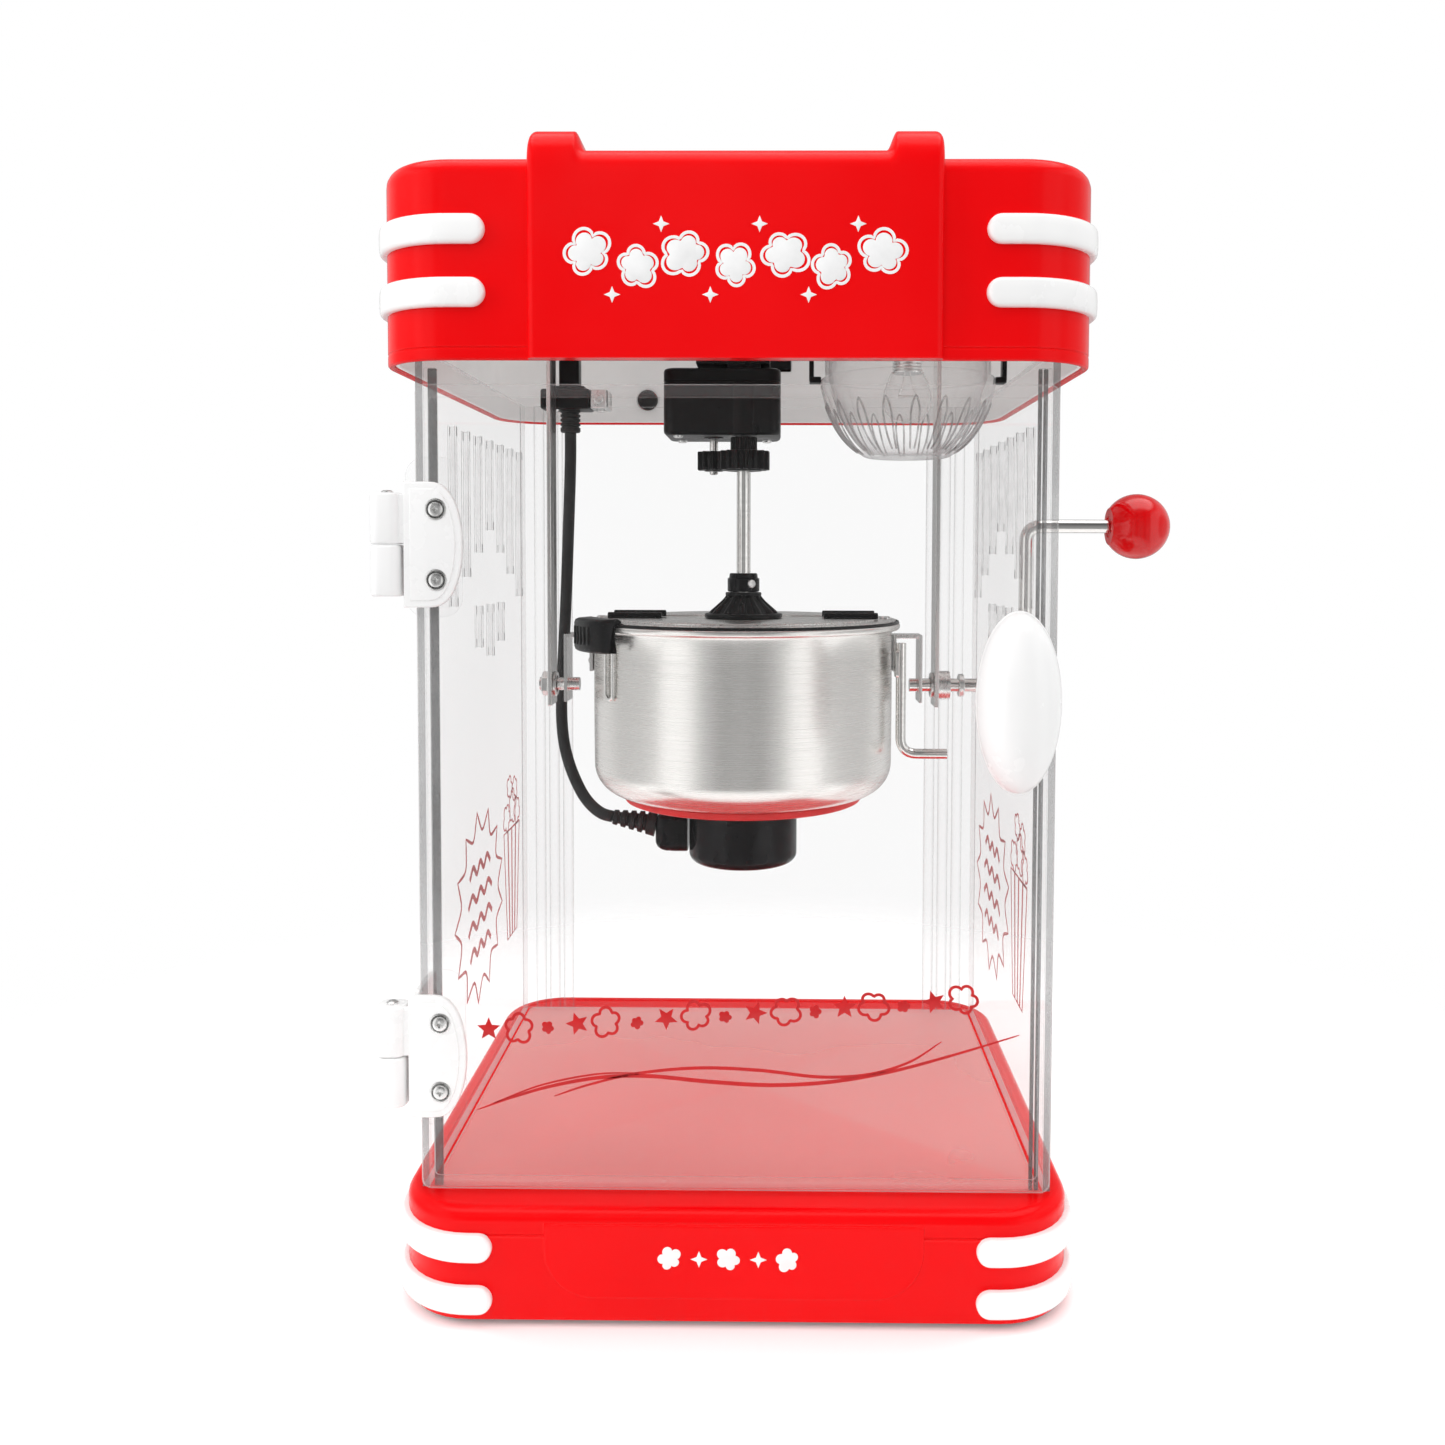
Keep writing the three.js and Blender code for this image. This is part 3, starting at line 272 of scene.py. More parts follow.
def smoothPath(points, each=6):
    # Catmull-Rom through the points.
    points = [Vector(p) for p in points]
    full = [points[0] * 2 - points[1]] + points + [points[-1] * 2 - points[-2]]
    path = []
    for i in range(1, len(full) - 2):
        a, b, c, d = full[i - 1:i + 3]
        for k in range(each):
            t = k / each
            path.append(((b * 2) + (c - a) * t + (a * 2 - b * 5 + c * 4 - d) * t ** 2
                         + (b * 3 - a - c * 3 + d) * t ** 3) / 2)
    path.append(points[-1])
    return path


def bentPath(points, bend, steps=8):
    # Straight runs with rounded corners.
    points = [Vector(p) for p in points]
    path = [points[0]]
    for before, here, after in zip(points, points[1:], points[2:]):
        start = here + (before - here).normalized() * bend
        end = here + (after - here).normalized() * bend
        for k in range(steps + 1):
            t = k / steps
            path.append(start * (1 - t) ** 2 + here * (2 * t * (1 - t)) + end * t ** 2)
    path.append(points[-1])
    return path


def screw(mesh, at, direction, radius, slot=0, proud=None):
    # A pan head with a cross recess.
    proud = radius * 0.55 if proud is None else proud
    r = radius

    def recess(angle, k):
        return 1 if k < 5 else 0.55 + 0.45 * abs(math.cos(2 * angle)) ** 3

    profile = [(r, -0.0002), (r, proud * 0.35), (r * 0.93, proud * 0.7), (r * 0.75, proud * 0.93),
               (r * 0.62, proud), (r * 0.5, proud), (r * 0.42, proud * 0.25), (0.0001, proud * 0.1)]
    turned(mesh, profile, aim(at, direction), 24, slot, recess)


def strip(mesh, points, normal, width, thickness=0.00012, slot=0, closed=False):
    # A flat printed line along points, lying on a face with that normal.
    points = [Vector(p) for p in points]
    normal = Vector(normal)
    count = len(points)
    rings = []
    for i, point in enumerate(points):
        if closed:
            along = points[(i + 1) % count] - points[i - 1]
        else:
            along = points[min(i + 1, count - 1)] - points[max(i - 1, 0)]
        side = normal.cross(along).normalized()
        w = width(i / max(count - 1, 1)) if callable(width) else width
        rings.append([point + side * w / 2, point + side * w / 2 + normal * thickness,
                      point - side * w / 2 + normal * thickness, point - side * w / 2])
    loft(mesh, rings, slot, wrap=closed)


def fromNode(node, looks, name, body, edge=0.0004, sort=None, angle=35):
    # A finer piece on a copy of the node's own mesh, with merged flat faces and rounded edges.
    mesh = bmesh.new()
    mesh.from_mesh(frame["nodes"][node].data)
    bmesh.ops.remove_doubles(mesh, verts=mesh.verts, dist=1e-6)
    bmesh.ops.dissolve_limit(mesh, angle_limit=math.radians(2), verts=mesh.verts, edges=mesh.edges)
    for face in mesh.faces:
        face.material_index = sort(face) if sort else 0
    piece = addPiece(name, mesh, body, looks, (node,), angle)
    return soften(piece, edge) if edge else piece


# Finishes.


def addNode(tree, kind, inputs):
    # A shader node whose inputs get either a value or a link.
    node = tree.nodes.new("ShaderNode" + kind)
    for socket, given in inputs.items():
        if isinstance(given, bpy.types.NodeSocket):
            tree.links.new(given, node.inputs[socket])
        else:
            node.inputs[socket].default_value = given
    return node


def newMaterial(name):
    material = bpy.data.materials.new(name)
    material.use_nodes = True
    tree = material.node_tree
    return material, tree, tree.nodes["Principled BSDF"]


plainStretch = (1, 1, 1)
noiseRange = {"From Min": 0.3, "From Max": 0.7}  # where most of a noise texture's values lie


def makeLook(name, settings):
    # Mottled colour, uneven gloss and a fine bump on one Principled shader.
    material, tree, shader = newMaterial(name)
    for socket, value in settings.get("shader", {}).items():
        shader.inputs[socket].default_value = value
    place = addNode(tree, "TexCoord", {})

    def noise(part, detail):
        stretch = part.get("stretch", plainStretch)
        mapping = addNode(tree, "Mapping", {"Scale": stretch, "Vector": place.outputs["Object"]})
        return addNode(tree, "TexNoise", {"Scale": part["scale"], "Detail": detail, "Roughness": 0.55,
                                          "Vector": mapping.outputs["Vector"]}).outputs["Fac"]

    mottle, rough, grain = settings["mottle"], settings["rough"], settings["grain"]
    ramp = tree.nodes.new("ShaderNodeValToRGB")
    start, end = ramp.color_ramp.elements
    start.position, end.position = mottle.get("from", 0.3), mottle.get("to", 0.7)
    start.color, end.color = (*settings["dark"], 1), (*settings["light"], 1)
    tree.links.new(noise(mottle, mottle.get("detail", 5)), ramp.inputs[0])
    colour = ramp.outputs["Color"]
    # Rounded edges are mixed towards the edge colour.
    if "edge" in settings:
        edge = settings["edge"]
        rounded = addNode(tree, "Bevel", {"Radius": edge["width"]})
        rounded.samples = 4
        surface = addNode(tree, "NewGeometry", {})
        dot = addNode(tree, "VectorMath", {0: rounded.outputs["Normal"], 1: surface.outputs["Normal"]})
        dot.operation = "DOT_PRODUCT"
        roundedEdgeShare = addNode(tree, "MapRange", {"From Min": 0.995, "From Max": 0.9, "To Max": edge["amount"],
                                          "Value": dot.outputs["Value"]})
        mix = tree.nodes.new("ShaderNodeMix")
        mix.data_type = "RGBA"
        mix.inputs["B"].default_value = (*edge["colour"], 1)
        tree.links.new(roundedEdgeShare.outputs["Result"], mix.inputs["Factor"])
        tree.links.new(colour, mix.inputs["A"])
        colour = mix.outputs["Result"]
    tree.links.new(colour, shader.inputs["Base Color"])
    spread = addNode(tree, "MapRange", {**noiseRange, "To Min": rough["low"], "To Max": rough["high"]})
    tree.links.new(noise(rough, 6), spread.inputs["Value"])
    tree.links.new(spread.outputs["Result"], shader.inputs["Roughness"])
    bump = addNode(tree, "Bump", {"Strength": grain["strength"], "Distance": grain["depth"]})
    tree.links.new(noise(grain, 3), bump.inputs["Height"])
    tree.links.new(bump.outputs["Normal"], shader.inputs["Normal"])
    return material


def makeClear(name, settings):
    # Clear plastic: see-through face on, more solid where it is seen edge on.
    material, tree, shader = newMaterial(name)
    shader.inputs["Base Color"].default_value = (*settings["colour"], 1)
    shader.inputs["Roughness"].default_value = settings.get("rough", 0.04)
    shader.inputs["IOR"].default_value = 1.49  # acrylic
    place = addNode(tree, "TexCoord", {})
    mapping = addNode(tree, "Mapping", {"Scale": settings.get("stretch", plainStretch),
                                        "Vector": place.outputs["Object"]})
    texture = addNode(tree, "TexNoise", {"Scale": settings.get("scale", 60), "Detail": 4,
                                         "Vector": mapping.outputs["Vector"]})
    weight = addNode(tree, "LayerWeight", {"Blend": 0.5})
    power = addNode(tree, "Math", {0: weight.outputs["Facing"], 1: settings["power"]})
    power.operation = "POWER"
    spread = addNode(tree, "MapRange", {"To Min": settings["haze"], "To Max": settings["rim"],
                                        "Value": power.outputs["Value"]})
    uneven = settings.get("uneven", 0.25)
    smudge = addNode(tree, "MapRange", {**noiseRange, "To Min": 1 - uneven, "To Max": 1 + uneven,
                                        "Value": texture.outputs["Fac"]})
    cover = addNode(tree, "Math", {0: spread.outputs["Result"], 1: smudge.outputs["Result"]})
    cover.operation = "MULTIPLY"
    bump = addNode(tree, "Bump", {"Strength": 0.15, "Distance": 0.0002, "Height": texture.outputs["Fac"]})
    tree.links.new(bump.outputs["Normal"], shader.inputs["Normal"])
    tint = settings.get("tint", 1.0)
    through = addNode(tree, "BsdfTransparent", {"Color": (tint, tint, tint, 1)})
    blend = addNode(tree, "MixShader", {0: cover.outputs["Value"], 1: through.outputs["BSDF"],
                                        2: shader.outputs["BSDF"]})
    tree.links.new(blend.outputs["Shader"], tree.nodes["Material Output"].inputs["Surface"])
    return material


redLook = makeLook("redGlossPlastic", {
    "dark": (0.80, 0.0008, 0.0022), "light": (0.88, 0.0012, 0.0032),
    "mottle": {"scale": 9, "detail": 3},
    "rough": {"low": 0.12, "high": 0.22, "scale": 40},
    "grain": {"scale": 160, "strength": 0.06, "depth": 0.0004},
    "edge": {"width": 0.0012, "amount": 0.3, "colour": (0.95, 0.02, 0.02)},
    "shader": {"Specular IOR Level": 0.10, "Coat Weight": 0.06, "Coat Roughness": 0.04},
})
knobLook = makeLook("redKnobPlastic", {
    "dark": (0.62, 0.0008, 0.0022), "light": (0.72, 0.0012, 0.0032),
    "mottle": {"scale": 12, "detail": 3},
    "rough": {"low": 0.05, "high": 0.10, "scale": 40},
    "grain": {"scale": 200, "strength": 0.03, "depth": 0.0003},
    "shader": {"Specular IOR Level": 0.35, "Coat Weight": 0.2, "Coat Roughness": 0.03},
})
whiteLook = makeLook("whiteGlossPlastic", {
    "dark": (0.90, 0.90, 0.90), "light": (0.955, 0.955, 0.95),
    "mottle": {"scale": 14, "detail": 4},
    "rough": {"low": 0.18, "high": 0.32, "scale": 60},
    "grain": {"scale": 220, "strength": 0.05, "depth": 0.0004},
    "shader": {"Coat Weight": 0.2, "Coat Roughness": 0.08},
})
# The liner also glows faintly by emission: painted light, as it is no lamp.
glowingLinerLook = makeLook("paleLinerPlasticPaintedGlow", {
    "dark": (0.70, 0.70, 0.69), "light": (0.78, 0.78, 0.77),
    "mottle": {"scale": 18, "detail": 5},
    "rough": {"low": 0.3, "high": 0.5, "scale": 70},
    "grain": {"scale": 500, "strength": 0.1, "depth": 0.0003},
    "shader": {"Emission Color": (1, 1, 0.99, 1), "Emission Strength": 0.15},
})
blackLook = makeLook("blackSatinPlastic", {
    "dark": (0.003, 0.003, 0.003), "light": (0.007, 0.007, 0.0075),
    "mottle": {"scale": 30, "detail": 6},
    "rough": {"low": 0.24, "high": 0.42, "scale": 90},
    "grain": {"scale": 1400, "strength": 0.12, "depth": 0.0002},
    "edge": {"width": 0.0007, "amount": 0.5, "colour": (0.03, 0.03, 0.03)},
    "shader": {"Specular IOR Level": 0.2},
})
glossBlackLook = makeLook("blackGlossPlastic", {
    "dark": (0.003, 0.003, 0.003), "light": (0.006, 0.006, 0.007),
    "mottle": {"scale": 20, "detail": 4},
    "rough": {"low": 0.10, "high": 0.2, "scale": 60},
    "grain": {"scale": 300, "strength": 0.06, "depth": 0.0003},
    "shader": {"Specular IOR Level": 0.15, "Coat Weight": 0.05, "Coat Roughness": 0.05},
})
rubberLook = makeLook("blackRubber", {
    "dark": (0.006, 0.006, 0.006), "light": (0.016, 0.016, 0.016),
    "mottle": {"scale": 50, "detail": 6},
    "rough": {"low": 0.5, "high": 0.75, "scale": 120},
    "grain": {"scale": 1800, "strength": 0.25, "depth": 0.0002},
})
brushedLook = makeLook("brushedKettleSteel", {
    "dark": (0.79, 0.775, 0.75), "light": (0.84, 0.825, 0.80),
    "mottle": {"scale": 1, "detail": 5, "stretch": (9, 9, 2600), "from": 0.2, "to": 0.8},
    "rough": {"low": 0.20, "high": 0.30, "scale": 1, "stretch": (12, 12, 3000)},
    "grain": {"scale": 1, "strength": 0.018, "depth": 0.0001, "stretch": (14, 14, 4500)},
    "shader": {"Metallic": 0.92, "Anisotropic": 0.55},
})
lidLook = makeLook("brushedLidSteel", {
    "dark": (0.62, 0.61, 0.59), "light": (0.80, 0.79, 0.77),
    "mottle": {"scale": 1, "detail": 5, "stretch": (20, 1400, 20), "from": 0.25, "to": 0.75},
    "rough": {"low": 0.2, "high": 0.36, "scale": 1, "stretch": (20, 1800, 20)},
    "grain": {"scale": 1, "strength": 0.08, "depth": 0.0002, "stretch": (20, 2400, 20)},
    "shader": {"Metallic": 1.0},
})
steelLook = makeLook("drawnSteel", {
    "dark": (0.72, 0.71, 0.70), "light": (0.88, 0.87, 0.86),
    "mottle": {"scale": 1, "detail": 5, "stretch": (900, 900, 14), "from": 0.25, "to": 0.75},
    "rough": {"low": 0.18, "high": 0.34, "scale": 1, "stretch": (1200, 1200, 20)},
    "grain": {"scale": 1, "strength": 0.08, "depth": 0.0002, "stretch": (1500, 1500, 25)},
    "edge": {"width": 0.0005, "amount": 0.4, "colour": (0.85, 0.85, 0.84)},
    "shader": {"Metallic": 1.0},
})
chromeLook = makeLook("polishedSteelRod", {
    "dark": (0.74, 0.73, 0.71), "light": (0.86, 0.85, 0.83),
    "mottle": {"scale": 1, "detail": 4, "stretch": (30, 700, 700)},
    "rough": {"low": 0.08, "high": 0.17, "scale": 1, "stretch": (40, 900, 900)},
    "grain": {"scale": 1, "strength": 0.05, "depth": 0.0002, "stretch": (40, 900, 900)},
    "shader": {"Metallic": 1.0},
})
screwLook = makeLook("zincScrew", {
    "dark": (0.70, 0.70, 0.69), "light": (0.86, 0.86, 0.85),
    "mottle": {"scale": 300, "detail": 5},
    "rough": {"low": 0.22, "high": 0.4, "scale": 500},
    "grain": {"scale": 900, "strength": 0.1, "depth": 0.0001},
    "shader": {"Metallic": 1.0},
})
enamelLook = makeLook("redEnamelPlate", {
    "dark": (0.62, 0.006, 0.006), "light": (0.78, 0.012, 0.012),
    "mottle": {"scale": 60, "detail": 6},
    "rough": {"low": 0.3, "high": 0.5, "scale": 150},
    "grain": {"scale": 600, "strength": 0.1, "depth": 0.0003},
})
printRedLook = makeLook("redPrint", {
    "dark": (0.50, 0.002, 0.004), "light": (0.62, 0.004, 0.006),
    "mottle": {"scale": 120, "detail": 5},
    "rough": {"low": 0.35, "high": 0.5, "scale": 200},
    "grain": {"scale": 900, "strength": 0.08, "depth": 0.0001},
})
printWhiteLook = makeLook("whitePrint", {
    "dark": (0.86, 0.86, 0.86), "light": (0.93, 0.93, 0.93),
    "mottle": {"scale": 120, "detail": 5},
    "rough": {"low": 0.3, "high": 0.42, "scale": 200},
    "grain": {"scale": 900, "strength": 0.06, "depth": 0.0001},
})
bulbLook = makeClear("clearBulbGlass", {
    "colour": (0.80, 0.80, 0.79), "haze": 0.05, "rim": 0.8, "power": 2.4,
    "scale": 60, "rough": 0.05,
})
fluteLook = makeClear("clearBowlFlutes", {
    "colour": (0.30, 0.29, 0.29), "haze": 0.30, "rim": 0.85, "power": 1.5,
    "scale": 160, "rough": 0.04, "uneven": 0.45,
})
panelLook = makeClear("clearPanel", {
    "colour": (0.80, 0.80, 0.80), "haze": 0.007, "rim": 0.7, "power": 4,
    "tint": 0.99, "scale": 4, "uneven": 0.12,
})
sideLook = makeClear("clearSidePanel", {
    "colour": (0.80, 0.80, 0.80), "haze": 0.02, "rim": 0.26, "power": 3,
    "scale": 4, "uneven": 0.10,
})
edgeLook = makeClear("clearPanelEdge", {
    "colour": (0.78, 0.78, 0.78), "haze": 0.22, "rim": 0.75, "power": 2,
    "scale": 12, "rough": 0.10, "uneven": 0.2,
})
# Clear acrylic seen edge on, drawn dark: painted shade, not a colour of the plastic.
edgeOnPaintedShadeLook = makeClear("panelEdgePaintedShade", {
    "colour": (0.12, 0.12, 0.12), "haze": 0.60, "rim": 0.85, "power": 2,
    "scale": 9, "rough": 0.1, "uneven": 0.3,
})
rimLook = makeClear("clearDoorRim", {
    "colour": (0.85, 0.85, 0.85), "haze": 0.05, "rim": 0.85, "power": 2.4,
    "scale": 12, "rough": 0.08, "uneven": 0.2,
})
# A greyer copy of the rib finish for the rib sides that face the middle: painted shade in vertical grey
# bands.
ribPaintedShadeLook = makeClear("clearRibPaintedShade", {
    "colour": (0.50, 0.49, 0.50), "haze": 0.48, "rim": 0.80, "power": 1.5,
    "scale": 9, "rough": 0.1, "uneven": 0.3, "stretch": (3, 3, 0.4),
})
ventLook = makeClear("ventLines", {
    "colour": (0.45, 0.44, 0.44), "haze": 0.34, "rim": 0.8, "power": 2,
    "scale": 240, "rough": 0.15, "uneven": 0.5,
})
slotLook = makeClear("ventSlotEdge", {
    "colour": (0.42, 0.41, 0.41), "haze": 0.09, "rim": 0.34, "power": 1.6,
    "scale": 90, "rough": 0.15, "uneven": 0.45,
})
ribLook = makeClear("clearRibs", {
    "colour": (0.40, 0.39, 0.40), "haze": 0.10, "rim": 0.88, "power": 1.7,
    "scale": 9, "rough": 0.08, "uneven": 0.2,
})
trayLook = makeClear("clearFloorTray", {
    "colour": (0.97, 0.66, 0.63), "haze": 0.06, "rim": 0.9, "power": 2.6,
    "scale": 7, "rough": 0.12, "uneven": 0.10,
})
bowlLook = makeClear("clearLampBowl", {
    "colour": (0.62, 0.62, 0.62), "haze": 0.03, "rim": 0.95, "power": 3.0,
    "scale": 30, "rough": 0.05,
})
print("finishes ready")

# Kettle lead: a fixed length of rubber cable from the strain block to the plug under the pot.

leadSet = {
    "radius": 0.0029,
    "bootRibs": 5,
    "bootStart": 0.0036,
    "bootGrowth": 0.0026,
    "route": [(-88, 15, 374.7), (-88, 15, 368), (-88.1, 15, 360), (-88.4, 15.2, 350), (-88.9, 15.6, 338),
              (-89.6, 16.2, 322), (-90.4, 17, 304), (-91.3, 17.8, 286), (-92.2, 18.2, 270),
              (-93, 18.2, 255),
              (-93.5, 17.6, 241), (-93.2, 16.2, 229), (-91.8, 14, 218.5), (-89, 10.8, 209), (-85, 7, 200.5),
              (-80, 2.4, 193), (-74.8, -1.6, 188.2), (-69.6, -4.3, 185.3), (-64.6, -5, 184.1)],
}


def addLead():
    route = [Vector(p) / 1000 for p in leadSet["route"]]
    path = smoothPath(route, 6)
    mesh = bmesh.new()
    tube(mesh, path, leadSet["radius"], 20)
    lead = addPiece("kettleLead", mesh, None, [rubberLook], ("kettle_lead",))
    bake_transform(lead)

    # The ribbed boot runs from the lead's end into the plug.
    low, high = corners("lead_boot")
    start = route[-1] + (route[-1] - route[-2]).normalized() * 0.0006
    end = Vector((high.x, start.y, low.z + (high.z - low.z) * 0.38))
    plugLow, plugHigh = corners("lead_plug")
    end.z = (plugLow.z + plugHigh.z) / 2 + 0.003
    mesh = bmesh.new()
    points, radii = [], []
    ribs = leadSet["bootRibs"]
    for k in range(ribs * 8 + 1):
        t = k / (ribs * 8)
        points.append(start.lerp(end, t))
        rib = 1.0 if (k % 8) < 5 else 0.74
        radii.append((leadSet["bootStart"] + leadSet["bootGrowth"] * t) * (rib if t < 0.92 else 1))
    tube(mesh, points, 0, 28, radii=radii)
    boot = addPiece("leadBoot", mesh, "kettle", [rubberLook], ("lead_boot",), 28)

    # The plug's face follows the round housing.
    mesh = bmesh.new()
    middleZ = (plugLow.z + plugHigh.z) / 2
    halfY = (plugHigh.y - plugLow.y) / 2 - 0.0002
    outline = roundPlan((plugHigh.z - plugLow.z) / 2, halfY, 0.004, 6, (0, 0))
    inner = corners("heater_housing")[0].x
    stations = [(plugLow.x, 0.62), (plugLow.x + 0.001, 0.8), (plugLow.x + 0.003, 0.93),
                (plugLow.x + 0.006, 1.0),
                (plugLow.x + 0.0068, 0.96), (plugLow.x + 0.0076, 1.0), (inner - 0.0012, 1.0),
                (inner - 0.0005, 0.96)]
    rings = [[Vector((x, centre("lead_plug").y + v * s, middleZ + u * s)) for u, v in outline] for x,
             s in stations]
    loft(mesh, rings)
    plug = addPiece("leadPlug", mesh, "kettle", [glossBlackLook], ("lead_plug",))


addLead()

# Base and feet.

baseSet = {"corner": 0.032, "edge": 0.005, "lowerEdge": 0.0022, "groove": 0.0007,
           "panel": (0.077, 0.0124, 0.020)}  # half width, bottom and corner of the raised front


def shellRings(low, high, corner, levels, steps=10):
    half = (high - low) / 2
    at = ((high.x + low.x) / 2, (high.y + low.y) / 2)
    rings = []
    for amount, z in levels:
        plan = roundPlan(half.x - amount, half.y - amount, max(corner - amount, 0.004), steps, at)
        rings.append([Vector((x, y, z)) for x, y in plan])
    return rings


def addBase():
    low, high = corners("base_shell")
    low = Vector((low.x, low.y + 0.001, low.z))
    edge, lower = baseSet["edge"], baseSet["lowerEdge"]
    levels = [(0.006, low.z + 0.010), (0.004, low.z), (lower * 0.4, low.z + 0.0004), (0, low.z + lower)]
    levels += [(0, high.z - 0.011), (baseSet["groove"], high.z - 0.0105),
               (baseSet["groove"], high.z - 0.0101),
               (0.0002, high.z - 0.0096)]
    levels += [(edge - x, z) for x, z in arc(0, high.z - edge, edge, 0, 90, 7)]
    levels += [(0.0068, high.z), (0.0072, high.z - 0.0006), (0.0078, high.z - 0.0006)]
    mesh = bmesh.new()
    loft(mesh, shellRings(low, high, baseSet["corner"], levels))
    # The shallow raised panel on the front, open to the top edge.
    halfPanel, bottom, corner = baseSet["panel"]
    panel = [(high.z - edge, -halfPanel), (high.z - edge, halfPanel)]
    for angle in range(0, 91, 10):
        a = math.radians(angle)
        panel.append((bottom + corner - corner * math.sin(a), halfPanel - corner + corner * math.cos(a)))
    for angle in range(0, 91, 10):
        a = math.radians(angle)
        panel.append((bottom + corner - corner * math.cos(a), -halfPanel + corner - corner * math.sin(a)))
    outline = panel if signedArea(panel) > 0 else panel[::-1]
    place = Matrix(((0, 1, 0, 0), (0, 0, -1, low.y + 0.0005), (1, 0, 0, 0), (0, 0, 0, 1)))
    pad(mesh, outline, 0, 0.0014, 0.0009, place, 0, 4, 0)
    addPiece("baseShell", mesh, "cabinet", [redLook], ("base_shell",), 30)


def signedArea(outline):
    return sum(a[0] * b[1] - b[0] * a[1] for a, b in zip(outline, outline[1:] + outline[:1])) / 2


addBase()


def addFoot(name):
    low, high = corners(name)
    middle = (low + high) / 2
    r = (high.x - low.x) / 2 - 0.0025
    profile = [(0.0001, 0.0006), (r * 0.45, 0.0006), (r * 0.5, 0), (r * 0.9, 0), (r, 0.0008), (r, 0.0022),
               (r - 0.0004, 0.0026), (r, 0.003), (r, 0.0043), (r + 0.0025, 0.0043),
               (r + 0.0025, high.z - 0.0004),
               (r + 0.002, high.z), (0.0001, high.z)]
    mesh = bmesh.new()
    turned(mesh, profile, Matrix.Translation((middle.x, middle.y, 0)), 40)
    piece = name.title().replace("_", "")
    addPiece(piece[0].lower() + piece[1:], mesh, "cabinet", [rubberLook], (name,))


for corner in ("front_left", "front_right", "rear_left", "rear_right"):
    addFoot("foot_" + corner)

# Head: shell, centre band with its raised bars, trim bands.

headSet = {"corner": 0.032, "edge": 0.007, "lip": 0.0022}


def addHead():
    low, high = corners("head_shell")
    edge, lip = headSet["edge"], headSet["lip"]
    levels = [(0.0026, low.z + 0.012), (0.0026, low.z + 0.0006), (0.0019, low.z), (0.0007, low.z),
              (0.0001, low.z + 0.0006), (0, low.z + 0.0014), (0, low.z + lip * 2),
              (0.0004, low.z + lip * 2 + 0.0003),
              (0.0004, low.z + lip * 2 + 0.0006), (0, low.z + lip * 2 + 0.001), (0, high.z - edge - 0.0004)]
    levels += [(edge - x, z) for x, z in arc(0, high.z - edge, edge, 0, 90, 8)]
    levels += [(0.03, high.z + 0.0003), (0.08, high.z + 0.0006)]
    mesh = bmesh.new()
    loft(mesh, shellRings(low, high, headSet["corner"], levels, 12), capLow=False)
    addPiece("headShell", mesh, "cabinet", [redLook], ("head_shell",), 30)


addHead()

bandSet = {"corner": 0.007, "side": 0.0032, "bar": 0.020, "fillet": 0.0045}


